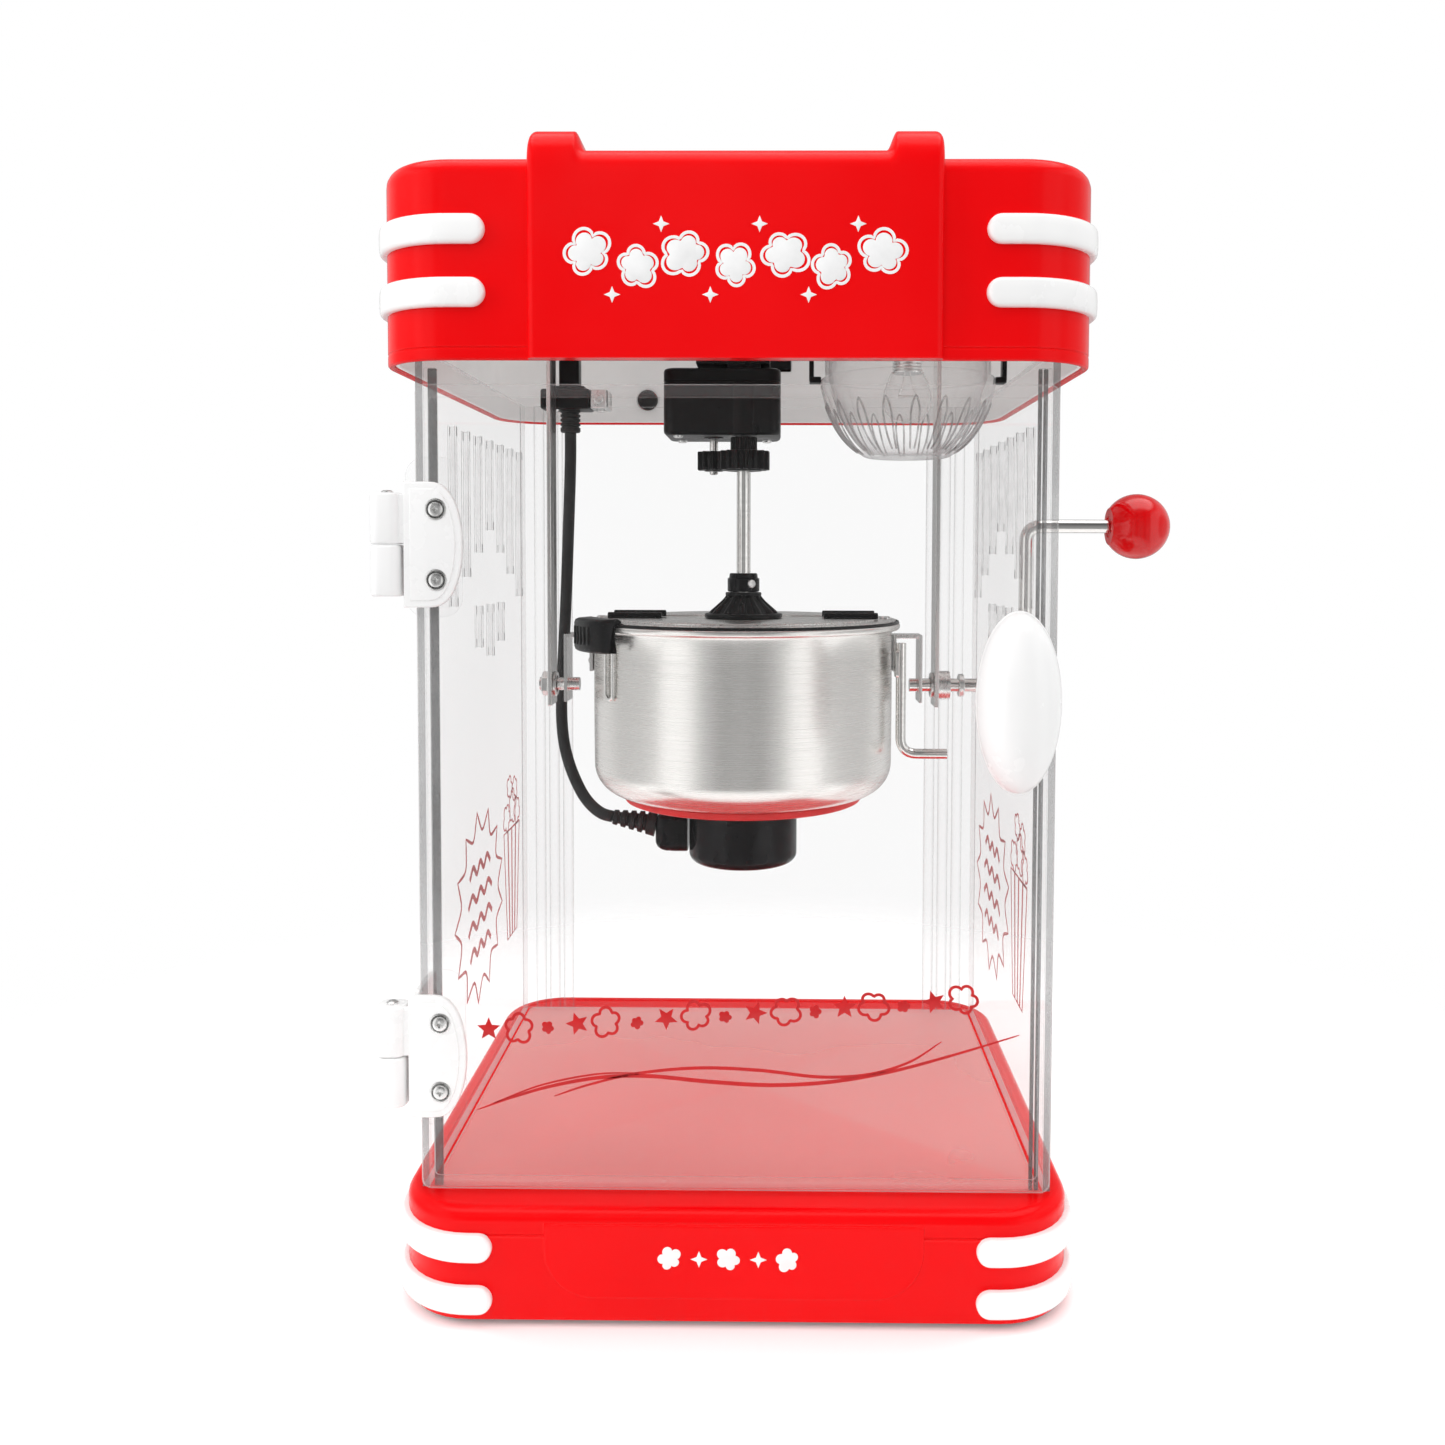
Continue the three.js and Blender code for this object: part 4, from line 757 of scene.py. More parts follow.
def addCenterBand():
    # One moulded strip up the front, over the top and down the back, with a raised bar along each side.
    low, high = corners("head_center_band")
    shellLow, shellHigh = corners("head_shell")
    half = (high.x - low.x) / 2
    frontDepth = shellLow.y - low.y
    rearDepth = high.y - shellHigh.y
    barDepth = high.z - shellHigh.z
    middleDepth = 0.0025
    r = bandSet["corner"]
    stations = []  # point on the shell, outward direction, share of the top shape, depth at rest
    for k in range(9):
        z = low.z + (shellHigh.z - r - low.z) * k / 8
        stations.append((Vector((0, shellLow.y, z)), Vector((0, -1, 0)), 0, frontDepth))
    for k in range(1, 13):
        a = math.radians(90 * k / 12)
        at = Vector((0, shellLow.y + r - r * math.cos(a), shellHigh.z - r + r * math.sin(a)))
        stations.append((at, Vector((0, -math.cos(a), math.sin(a))), (1 - math.cos(2 * a)) / 2, frontDepth))
    for k in range(1, 12):
        y = shellLow.y + r + (shellHigh.y - shellLow.y - 2 * r) * k / 12
        stations.append((Vector((0, y, shellHigh.z)), Vector((0, 0, 1)), 1, frontDepth))
    for k in range(13):
        a = math.radians(90 * k / 12)
        at = Vector((0, shellHigh.y - r + r * math.sin(a), shellHigh.z - r + r * math.cos(a)))
        stations.append((at, Vector((0, math.sin(a), math.cos(a))), (1 + math.cos(2 * a)) / 2, rearDepth))
    for k in range(1, 4):
        z = shellHigh.z - r - (shellHigh.z - r - (shellHigh.z - 0.0145)) * k / 3
        stations.append((Vector((0, shellHigh.y, z)), Vector((0, 1, 0)), 0, rearDepth))
    side, bar, fillet = bandSet["side"], bandSet["bar"], bandSet["fillet"]
    across = [(-half, "wall")]
    across += [(-half + side * (1 - math.cos(math.radians(15 * k))), "top") for k in range(0, 7)]
    inner = half - bar
    across += [(-half + bar - fillet / 2 + fillet * k / 10, "top") for k in range(0, 11)]
    across += [(-inner * 0.6 + inner * 1.2 * k / 6, "top") for k in range(0, 7)]
    across += [(inner - fillet / 2 + fillet * k / 10, "top") for k in range(0, 11)]
    across += [(half - side * (1 - math.cos(math.radians(15 * k))), "top") for k in range(6, -1, -1)]
    across += [(half, "wall")]
    mesh = bmesh.new()
    rows = []
    for at, out, share, depth in stations:
        row = []
        for x, kind in across:
            t = min(max((abs(x) - (inner - fillet / 2)) / fillet, 0), 1)
            t = t * t * (3 - 2 * t)
            top = depth * (1 - share) + (middleDepth + (barDepth - middleDepth) * t) * share
            rim = side - (half - abs(x))
            drop = side - math.sqrt(max(side * side - rim * rim, 0)) if rim > 0 else 0
            height = -0.0012 if kind == "wall" else top - drop
            row.append(mesh.verts.new(at + out * height + Vector((x, 0, 0))))
        rows.append(row)
    for first, second in zip(rows, rows[1:]):
        for i in range(len(first) - 1):
            mesh.faces.new((first[i], first[i + 1], second[i + 1], second[i]))
    mesh.faces.new(rows[0][::-1])
    mesh.faces.new(rows[-1])
    mesh.faces.new([row[0] for row in rows])
    mesh.faces.new([row[-1] for row in rows][::-1])
    addPiece("headCenterBand", mesh, "cabinet", [redLook], ("head_center_band",), 40)


addCenterBand()

trimSet = {"end": 0.098, "gap": 0.0001, "thick": 0.0031, "round": 0.0016, "crown": 0.0004}


def addTrim(node, name):
    # A domed white strip round one end of the shell, with round ends on the front and the back.
    low, high = corners(node)
    body = corners("base_shell" if "base" in node else "head_shell")
    corner = baseSet["corner"]
    sign = 1 if high.x > 0 and low.x > 0 else -1
    halfX = (body[1].x - body[0].x) / 2
    halfY = 0.125
    middleZ = (low.z + high.z) / 2
    r = (high.z - low.z) / 2
    end = trimSet["end"]
    path = []
    for k in range(9):
        a = math.radians(90 * k / 8)
        path.append((end + r * (1 - math.cos(a)), -halfY, 0, -1, r * math.sin(a)))
    for k in range(1, 4):
        path.append((end + r + (halfX - corner - end - r) * k / 4, -halfY, 0, -1, r))
    for k in range(17):
        a = math.radians(-90 + 90 * k / 16)
        path.append((halfX - corner + corner * math.cos(a), -halfY + corner + corner * math.sin(a),
                     math.cos(a), math.sin(a), r))
    for k in range(1, 8):
        path.append((halfX, -halfY + corner + (2 * halfY - 2 * corner) * k / 8, 1, 0, r))
    path += [(x, -y, nx, -ny, h) for x, y, nx, ny, h in path[:29][::-1]]
    mesh = bmesh.new()
    rings = []
    for x, y, nx, ny, h in path:
        h = max(h, 0.00005)
        ring = []
        soft = min(trimSet["round"], h)
        heights = [(-1, 0)]
        for k in range(5):
            a = math.radians(90 * k / 4)
            heights.append((-1 + soft / h * (1 - math.cos(a)),
                            1 - soft / trimSet["thick"] * (1 - math.sin(a))))
        heights += [(-0.3, 1), (0.3, 1)]
        for k in range(4, -1, -1):
            a = math.radians(90 * k / 4)
            heights.append((1 - soft / h * (1 - math.cos(a)),
                            1 - soft / trimSet["thick"] * (1 - math.sin(a))))
        heights.append((1, 0))
        for v, t in heights:
            depth = trimSet["gap"] + t * (trimSet["thick"] - trimSet["crown"]) * min(1, 0.25 + h / r)
            depth += trimSet["crown"] * (1 - v * v) * t
            if t == 0:
                depth = -0.0003
            ring.append(Vector((sign * (x + nx * depth), y + ny * depth, middleZ + v * h)))
        rings.append(ring)
    loft(mesh, rings)
    addPiece(name, mesh, "cabinet", [whiteLook], (node,), 40)


for place in ("base", "head"):
    for hand in ("left", "right"):
        for level in ("lower", "upper"):
            addTrim(f"{place}_band_{hand}_{level}", f"{place}Trim{hand.title()}{level.title()}")

fromNode("head_liner", [glowingLinerLook], "headLiner", "cabinet", 0.0008, None)
fromNode("base_bottom_plate", [blackLook], "undersidePlate", "cabinet", 0.0004, None)
print("base and head ready")

# Ornaments in place of lettering.

ornamentSet = {"puffs": 7, "outline": 0.0012, "proud": 0.00018}


def puff(cx, cz, radius, turn=0.0, lobes=5):
    # A popped-corn outline: round lobes of uneven size.
    points = []
    for k in range(lobes * 12):
        a = 2 * math.pi * k / (lobes * 12)
        bulge = abs(math.sin(lobes * a / 2 + turn))
        uneven = 1 + 0.10 * math.sin(a + turn * 3) + 0.06 * math.sin(2 * a + turn * 5)
        r = radius * (0.70 + 0.34 * bulge ** 0.7) * uneven
        points.append((cx + r * math.cos(a), cz + r * math.sin(a)))
    return points


def frontFace(y):
    # Outline u, v lie along X and Z on a face that looks to the front.
    return Matrix(((1, 0, 0, 0), (0, 0, -1, y), (0, 1, 0, 0), (0, 0, 0, 1)))


def closedStrip(mesh, outline, place, width, proud):
    points = [place @ Vector((u, v, 0)) for u, v in outline]
    normal = (place.to_3x3() @ Vector((0, 0, 1))).normalized()
    strip(mesh, points, normal, width, proud, 0, True)


def star(cx, cz, radius, points=5, inner=0.45, turn=90):
    outline = []
    for k in range(points * 2):
        a = math.radians(turn + 180 * k / points)
        r = radius if k % 2 == 0 else radius * inner
        outline.append((cx + r * math.cos(a), cz + r * math.sin(a)))
    return outline


def addHeadOrnament():
    face = corners("head_center_band")[0].y
    place = frontFace(face - 0.00002)
    mesh = bmesh.new()
    count = ornamentSet["puffs"]
    for k in range(count):
        x = -0.057 + 0.114 * k / (count - 1)
        z = 0.4278 + (0.0022 if k % 2 == 0 else -0.0026)
        r = 0.0072 if k % 2 == 0 else 0.0064
        outline = puff(x, z, r, 0.7 * k)
        pad(mesh, outline, 0, ornamentSet["proud"], 0.00008, place, 0, 2, 0)
        ring = [(x + (u - x) * 1.2, z + (v - z) * 1.2) for u, v in outline]
        closedStrip(mesh, ring, place, ornamentSet["outline"], 0.00016)
    for k in range(count - 1):
        x = -0.0475 + 0.095 * k / (count - 2)
        z = 0.4412 if k % 2 == 1 else 0.4142
        pad(mesh, star(x, z, 0.0032, 4, 0.4), 0, ornamentSet["proud"], 0.00005, place, 0, 2, 0)
    addPiece("headOrnament", mesh, "cabinet", [printWhiteLook], ())

    face = corners("base_shell")[0].y
    place = frontFace(face - 0.00002)
    mesh = bmesh.new()
    for k in range(5):
        x = -0.024 + 0.012 * k
        if k % 2 == 0:
            pad(mesh, puff(x - 0.002, 0.0293, 0.0046, 0.9 * k), 0, 0.00015, 0.00006, place, 0, 2, 0)
        else:
            pad(mesh, star(x - 0.002, 0.0293, 0.0034, 4, 0.4), 0, 0.00015, 0.00005, place, 0, 2, 0)
    addPiece("baseOrnament", mesh, "cabinet", [printWhiteLook], ())


addHeadOrnament()

# Clear cabinet.

cabinetSet = {"postLines": (0.1205, 0.1125, 0.1045), "rib": 0.003}


def panelFaces(face):
    # 0 broad face, 1 edge, 2 front edge in painted shade, 3 the edges of the vent slots
    if abs(face.normal.x) > 0.9:
        return 0
    if face.normal.y < -0.9 and face.calc_area() > 0.0005:
        return 2
    inside = -0.09 < face.calc_center_median().y < 0.098 and 0.05 < face.calc_center_median().z < 0.385
    return 3 if inside else 1


for hand in ("left", "right"):
    fromNode(f"side_panel_{hand}", [sideLook, edgeLook, edgeOnPaintedShadeLook, slotLook], f"sidePanel{hand.title()}",
             "cabinet",
             0, panelFaces, 5)


ventSet = {"width": 0.003, "pitch": 0.024, "top": 0.371, "lengths": (81, 68, 56.5, 45, 56.5, 68, 81),
           "shortTop": 0.288, "shortLengths": (20, 26, 20), "line": 0.00045, "foot": 0.004}


def addVentLines():
    # Moulded lips round the vent slots, with a mark of painted shade at both ends of each.
    for hand, sign in (("left", -1), ("right", 1)):
        low, high = corners(f"side_panel_{hand}")
        middle = (low.y + high.y) / 2 + 0.0205
        mesh = bmesh.new()
        for face in (low.x if sign < 0 else high.x, low.x + 0.003 if sign < 0 else high.x - 0.003):
            out = sign if abs(face) > abs((low.x + high.x) / 2) else -sign
            for lengths, top in ((ventSet["lengths"], ventSet["top"]),
                                 (ventSet["shortLengths"], ventSet["shortTop"])):
                for i, length in enumerate(lengths):
                    y = middle + (i - (len(lengths) - 1) / 2) * ventSet["pitch"]
                    half = ventSet["width"] / 2 + ventSet["line"] / 2
                    bottom = top - length / 1000
                    ring = [(face, y - half, bottom - 0.0003), (face, y + half, bottom - 0.0003),
                            (face, y + half, top + 0.0003), (face, y - half, top + 0.0003)]
                    strip(mesh, ring, (out, 0, 0), ventSet["line"], 0.0001, 0, True)
                    for z in (top - ventSet["foot"], bottom):
                        strip(mesh, [(face, y + half, z), (face, y + half, z + ventSet["foot"])],
                              (out, 0, 0), 0.0010, 0.00014, 1)
        addPiece(f"ventLines{hand.title()}", mesh, "cabinet", [ventLook, edgeOnPaintedShadeLook], ())


addVentLines()

postSet = {"from": 0.1228, "left": ((0.0002, 0.0036),), "right": ((0.0, 0.0015), (0.0022, 0.0017)),
           "depth": 0.0022,
           "to": 0.1284, "top": 0.3895}


def addFrontPosts():
    # The turned-in front flanges of the side panels, drawn as two lines of painted shade where they are
    # seen edge on.
    for hand, sign in (("left", -1), ("right", 1)):
        low = corners(f"side_panel_{hand}")[0]
        inner, outer = sorted((sign * postSet["from"], sign * postSet["to"]))
        mesh = bmesh.new()
        for start, width in postSet[hand]:
            a = sign * (postSet["from"] + start)
            b = sign * (postSet["from"] + start + width)
            block(mesh, (min(a, b), low.y + 0.0005, low.z),
                  (max(a, b), low.y + postSet["depth"], postSet["top"]), 0.0004, 0.0003)
        block(mesh, (inner, low.y + 0.0003, low.z),
              (outer, low.y + 0.0024, postSet["top"] + 0.0003), 0.0006, 0.0004, "Z", 1)
        addPiece(f"frontPost{hand.title()}", mesh, "cabinet", [edgeOnPaintedShadeLook, panelLook], ())


addFrontPosts()


def addRearPanel():
    low, high = corners("rear_panel")
    sheetBack, sheetFront = high.y, high.y - 0.003
    outline = [(low.x, sheetBack), (low.x, sheetFront)]
    ribs = sorted([-x for x in cabinetSet["postLines"]] + list(cabinetSet["postLines"]))
    for x in ribs:
        for k in range(0, 13):
            a = math.radians(180 + 180 * k / 12)
            outline.append((x + cabinetSet["rib"] * math.cos(a),
                            sheetFront + cabinetSet["rib"] * math.sin(a)))
    outline += [(high.x, sheetFront), (high.x, sheetBack)]
    mesh = bmesh.new()
    pad(mesh, outline, low.z, high.z, 0, identity, 0, 2, 0)
    for face in mesh.faces:
        middle = face.calc_center_median()
        if abs(middle.x) > 0.1005 and abs(face.normal.z) < 0.5 and face.calc_area() < 0.003:
            face.material_index = 1
        # Rib sides that face the middle take the greyer finish: painted shade.
        if face.material_index == 1 and face.normal.x * middle.x < -0.3 * abs(middle.x):
            face.material_index = 3
        if abs(face.normal.z) > 0.5 or abs(face.normal.x) > 0.99:
            face.material_index = 2
    addPiece("rearPanel", mesh, "cabinet", [panelLook, ribLook, edgeLook, ribPaintedShadeLook], ("rear_panel",),
             50)


addRearPanel()


def addTray():
    low, high = corners("floor_tray")
    mesh = bmesh.new()
    block(mesh, low, high, 0.004, 0.0006)
    addPiece("floorTray", mesh, "cabinet", [trayLook], ("floor_tray",))


addTray()

doorSet = {"rim": 0.005, "corner": 0.004, "wall": 0.002}


def addDoor():
    low, high = corners("door_panel")
    rim = doorSet["rim"]
    mesh = bmesh.new()
    halfX, halfZ = (high.x - low.x) / 2, (high.z - low.z) / 2
    at = ((high.z + low.z) / 2, (high.x + low.x) / 2)

    def ring(shrink, y, corner):
        plan = roundPlan(halfZ - shrink, halfX - shrink, max(corner, 0.0005), 6, at)
        return [Vector((v, y, u)) for u, v in plan]

    corner = doorSet["corner"]
    back, front = high.y, low.y
    rings = [ring(rim + 0.0004, front + doorSet["wall"], corner - 0.002),
             ring(rim, back - 0.0004, corner - 0.002),
             ring(rim - 0.0005, back, corner - 0.0015), ring(0.0006, back, corner),
             ring(0, back - 0.0006, corner),
             ring(0, front + 0.0008, corner), ring(0.0008, front, corner),
             ring(0.0034, front, corner - 0.001),
             ring(0.0040, front + 0.0004, corner - 0.001), ring(0.0046, front, corner - 0.001)]
    loft(mesh, rings, 1)
    for face in mesh.faces:
        if len(face.verts) > 6:
            face.material_index = 0
    addPiece("doorPanel", mesh, "door", [panelLook, rimLook], ("door_panel",))


addDoor()


def addDoorPrint():
    # Two crossing waves and a rising row of stars and puffs, printed on the door.
    face = corners("door_panel")[0].y - 0.00002
    normal = (0, -1, 0)
    mesh = bmesh.new()

    def wave(points, width):
        path = smoothPath([(x / 1000, face, z / 1000) for x, z in points], 10)
        strip(mesh, path, normal, lambda t: 0.0003 + width * math.sin(math.pi * min(max(t, 0), 1)) ** 0.5)

    wave([(-107, 83.5), (-92, 89), (-75, 94), (-55, 97.6), (-35, 98.2), (-10, 96), (15, 94.8), (40, 96.4),
          (65, 101), (90, 108), (117, 116.5)], 0.0014)
    wave([(-75, 89.5), (-60, 94.6), (-40, 99.4), (-15, 101.8), (10, 101), (35, 98.4), (55, 99.6), (72, 105),
          (85, 113.5)], 0.0011)
    wave([(-100, 86.5), (-80, 94.2), (-58, 98.8), (-40, 99.6)], 0.0005)
    place = frontFace(face)
    count = 17
    for k in range(count):
        t = k / (count - 1)
        x, z = -0.102 + 0.196 * t, 0.1175 + 0.0135 * t
        if k % 3 == 1:
            closedStrip(mesh, puff(x, z, 0.0058, k * 0.9), place, 0.0012, 0.00012)
        elif k % 3 == 0:
            pad(mesh, star(x, z, 0.0050, 5, 0.45, 90 + 6 * k), 0, 0.00012, 0.00004, place, 0, 2, 0)
        else:
            pad(mesh, puff(x, z - 0.001, 0.0026, k), 0, 0.00012, 0.00004, place, 0, 2, 0)
    addPiece("doorPrint", mesh, "door", [printRedLook])


addDoorPrint()

sidePrintSet = {"middle": 0.022, "low": 0.083, "line": 0.0014}


def addSidePrint(sign):
    # A striped cup with puffs beside a scalloped burst of wavy lines, drawn to read from outside.
    mesh = bmesh.new()
    x = sign * (abs(corners("side_panel_right")[1].x) + 0.00002)
    w = sidePrintSet["line"]

    def on(u, v):
        return Vector((x, sidePrintSet["middle"] + sign * u, sidePrintSet["low"] + v))

    def line(points, width=w, closed=False, smooth=0):
        path = [on(u, v) for u, v in points]
        if smooth:
            path = smoothPath(path, smooth)
        strip(mesh, path, (sign, 0, 0), width, 0.00012, 0, closed)

    cup = [(-0.072, 0.078), (-0.064, 0.018), (-0.040, 0.018), (-0.032, 0.078)]
    line(cup + [cup[0]], w)
    for t in (0.25, 0.5, 0.75):
        line([(-0.072 + 0.040 * t, 0.078), (-0.064 + 0.024 * t, 0.018)], 0.0022)
    for cx, cz, r in ((-0.066, 0.086, 0.0075), (-0.054, 0.090, 0.009), (-0.040, 0.086, 0.0078),
                      (-0.060, 0.099, 0.0066), (-0.047, 0.101, 0.0062)):
        line(puff(cx, cz, r, cx * 400), 0.0010, True)
    burst = []
    lobes = 13
    for k in range(lobes):
        a0 = 2 * math.pi * k / lobes
        for j in range(8):
            a = a0 + 2 * math.pi / lobes * j / 8
            scallop = 1 - 0.22 * math.sin(math.pi * j / 8)
            burst.append((0.022 + 0.050 * scallop * math.cos(a), 0.055 + 0.048 * scallop * math.sin(a)))
    line(burst, 0.0016, True)
    for row in range(4):
        v = 0.075 - 0.0135 * row
        half = 0.026 - 0.003 * abs(row - 1.5)
        line([(0.022 - half + 2 * half * k / 6, v + (0.0024 if k % 2 else -0.0024)) for k in range(7)],
             0.0028, False, 6)
    addPiece("sidePrintRight" if sign > 0 else "sidePrintLeft", mesh, "cabinet", [printRedLook])


addSidePrint(-1)
addSidePrint(1)
print("clear cabinet and prints ready")

# Hinges and handle.

hingeSet = {"middles": (("lower", 0.1065), ("upper", 0.3175)), "screw": 0.0030, "leaf": 0.0026,
            "barrel": 0.0063, "reach": 0.021, "gap": 0.00015, "screwSpread": 0.0143}


def addHinge(level, middle):
    leafLow, leafHigh = corners(f"hinge_door_leaf_{level}")
    sideLow, sideHigh = corners(f"hinge_side_leaf_{level}")
    r, leaf = hingeSet["barrel"], hingeSet["leaf"]
    barrelX = sideLow.x + r
    barrelY = leafLow.y + r
    panel = corners("door_panel")[0].y - 0.0003
    half = (leafHigh.z - leafLow.z) / 2
    left = corners("side_panel_left")[0].x - 0.0033
    outline = []
    width = leafHigh.x - left
    for k in range(25):
        a = math.radians(-90 + 180 * k / 24)
        reach = width * (0.42 + 0.58 * math.cos(a) ** 0.8 if math.cos(a) > 0 else 0.42)
        outline.append((left + reach, middle + half * math.sin(a)))
    outline += [(left, middle + half), (left, middle - half)]
    mesh = bmesh.new()
    pad(mesh, outline, 0, leaf, 0.0009, frontFace(panel), 0, 4, 0.0002)
    # A raised land inside the edge, and the upper knuckle with its web.
    pad(mesh, inset(outline, 0.0028), leaf - 0.0002, leaf + 0.0005, 0.0004,
        frontFace(panel), 0, 3, 0)
    top = middle + hingeSet["reach"]
    low = middle + hingeSet["gap"]

    def knuckle(target, z0, z1):
        block(target, (barrelX - r, barrelY - r, z0), (barrelX + r, barrelY + r, z1), 0.0042, 0.0011, "Z",
              0, 6)

    knuckle(mesh, low, top)
    block(mesh, (barrelX, panel - leaf + 0.0002, low + 0.0004),
          (left + 0.004, panel - 0.0001, top - 0.0004),
          0.0006, 0.0004, "Z")
    turned(mesh, [(0.0024, 0), (0.0024, 0.0006), (0.0016, 0.0011), (0.0001, 0.0012)],
           aim((barrelX, barrelY, top), (0, 0, 1)), 20, 1)
    addPiece(f"hingeDoorLeaf{level.title()}", mesh, "door", [whiteLook, screwLook],
             (f"hinge_door_leaf_{level}",))
    mesh = bmesh.new()
    for dz in (-hingeSet["screwSpread"], hingeSet["screwSpread"]):
        at = Vector((left + width * 0.56, panel - leaf - 0.0004, middle + dz))
        ring = [(0.0044, 0.0), (0.0044, 0.00035), (0.0040, 0.0005), (0.0037, 0.0001)]
        turned(mesh, ring + [(0.0001, 0.0001)], aim(at, (0, -1, 0)), 32)
        screw(mesh, at, (0, -1, 0), hingeSet["screw"], 0, 0.0012)
    addPiece(f"hingeScrews{level.title()}", mesh, "door", [screwLook], ())

    # The cabinet half: the lower knuckle and the plate on the side panel.
    mesh = bmesh.new()
    knuckle(mesh, middle - hingeSet["reach"], middle - hingeSet["gap"])
    block(mesh, (sideHigh.x - 0.0026, barrelY + 0.0025, middle - half),
          (sideHigh.x, sideHigh.y, middle + half),
          0.003, 0.0006, "X")
    block(mesh, (barrelX, barrelY + 0.001, middle - 0.0206),
          (sideHigh.x - 0.001, barrelY + 0.0055, middle - 0.0006),
          0.0006, 0.0004, "Z")
    for dz in (-hingeSet["screwSpread"], hingeSet["screwSpread"]):
        at = (sideHigh.x - 0.0026, sideHigh.y - 0.008, middle + dz)
        screw(mesh, at, (-1, 0, 0), 0.0034, 1, 0.0013)
    addPiece(f"hingeSideLeaf{level.title()}", mesh, "cabinet", [whiteLook, screwLook],
             (f"hinge_side_leaf_{level}",))

    # The clear boss moulded on the door behind the leaf.
    mesh = bmesh.new()
    boss = roundPlan(0.0115, 0.0325, 0.008, 8, (-0.1232, middle + 0.003))
    pad(mesh, boss, 0, 0.0016, 0.0005, frontFace(corners("door_panel")[0].y + 0.0017), 0, 3)
    addPiece(f"hingeBoss{level.title()}", mesh, "door", [panelLook, edgeLook])


for level, middle in hingeSet["middles"]:
    addHinge(level, middle)

handleSet = {"flange": 0.0012, "fullness": 2.5}


def addHandle():
    low, high = corners("door_handle")
    middle = (low + high) / 2
    halfX, halfZ, depth = (high.x - low.x) / 2, (high.z - low.z) / 2, high.y - low.y
    mesh = bmesh.new()
    rings = []
    levels = [(0.985, 0), (1.0, 0.0003), (1.0, handleSet["flange"]), (0.985, handleSet["flange"] + 0.0003)]
    for k in range(1, 18):
        s = math.cos(math.radians(90 * k / 18))
        rise = (1 - s ** handleSet["fullness"]) ** (1 / 1.7)
        levels.append((0.985 * s, handleSet["flange"] + 0.0003 + (depth - handleSet["flange"] - 0.0003)
                       * rise))
    for s, rise in levels:
        ring = []
        for i in range(72):
            a = 2 * math.pi * i / 72
            ring.append(Vector((middle.x + halfX * s * math.cos(a), high.y - rise,
                                middle.z + halfZ * s * math.sin(a))))
        rings.append(ring)
    loft(mesh, rings)
    addPiece("doorHandle", mesh, "door", [whiteLook], ("door_handle",), 50)


addHandle()
print("door fittings ready")

# Kettle.

kettleSet = {"radius": 0.0725, "wall": 0.0012, "corner": 0.015, "rimRoll": 0.0019, "steps": 128}


def kettleAxis():
    low, high = corners("kettle_pot")
    return (low.x + high.x) / 2, (low.y + high.y) / 2


def addPot():
    low, high = corners("kettle_pot")
    cx, cy = kettleAxis()
    r, wall, corner, roll = (kettleSet[k] for k in ("radius", "wall", "corner", "rimRoll"))
    rim = (high.x - low.x) / 2
    profile = [(0.0001, low.z + 0.0006), (0.028, low.z + 0.0005), (0.030, low.z), (r - corner, low.z)]
    profile += arc(r - corner, low.z + corner, corner, -90, 0, 12)[1:]
    for k in range(1, 7):
        profile.append((r + 0.00015 * math.sin(math.pi * k / 6),
                        low.z + corner + (high.z - low.z - corner - 0.0045) * k / 6))
    profile += [(r + 0.0007, high.z - 0.0034), (rim - roll, high.z - 0.0030)]
    profile += arc(rim - roll, high.z - roll + 0.0004, roll, -70, 150, 10)
    profile += [(r + 0.0008, high.z - 0.0008), (r - 0.0002, high.z - 0.0022), (r - wall, high.z - 0.004)]
    profile += arc(r - corner, low.z + corner, corner - wall, 0, -90, 8)
    profile += [(0.0001, low.z + wall + 0.0003)]
    mesh = bmesh.new()
    turned(mesh, profile, Matrix.Translation((cx, cy, 0)), kettleSet["steps"])
    addPiece("kettlePot", mesh, "kettle", [brushedLook], ("kettle_pot",), 40)


addPot()


def addHangers():
    cy = kettleAxis()[1]
    for hand, sign in (("left", -1), ("right", 1)):
        fromNode(f"kettle_hanger_{hand}", [steelLook], f"kettleHanger{hand.title()}", "kettle", 0.0004,
                 None)
        low, high = corners(f"kettle_hanger_{hand}")
        mesh = bmesh.new()
        plate = sign * (kettleSet["radius"] + 0.0021)
        for z in (high.z - 0.006, high.z - 0.013):
            for dy in (-0.0045, 0.0045):
                turned(mesh, [(0.0015, -0.0002), (0.0015, 0.0003), (0.0011, 0.0008), (0.0001, 0.0010)],
                       aim((plate, cy + dy, z), (sign, 0, 0)), 20)
        addPiece(f"hangerRivets{hand.title()}", mesh, "kettle", [screwLook], ())
    # A hex nut and washer on the left pin; the clip ring on the crank is made with the rods.
    low = corners("kettle_hanger_left")[0]
    mesh = bmesh.new()
    tip = aim((low.x - 0.0002, cy, 0.25), (1, 0, 0))
    turned(mesh, [(0.0001, 0), (0.0026, 0), (0.0031, 0.0005), (0.0031, 0.0012), (0.0001, 0.0012)], tip, 32)
    turned(mesh, [(0.0056, 0.0014), (0.0060, 0.0019), (0.0060, 0.0044), (0.0056, 0.0049), (0.0034, 0.0049),
                  (0.0034, 0.0014)], tip, 6, wrap=True)
    addPiece("pivotNut", mesh, "kettle", [screwLook], (), 25)


addHangers()

gripSet = {"angle": 211, "spread": 12.0, "loop": (0.0035, 0.022)}


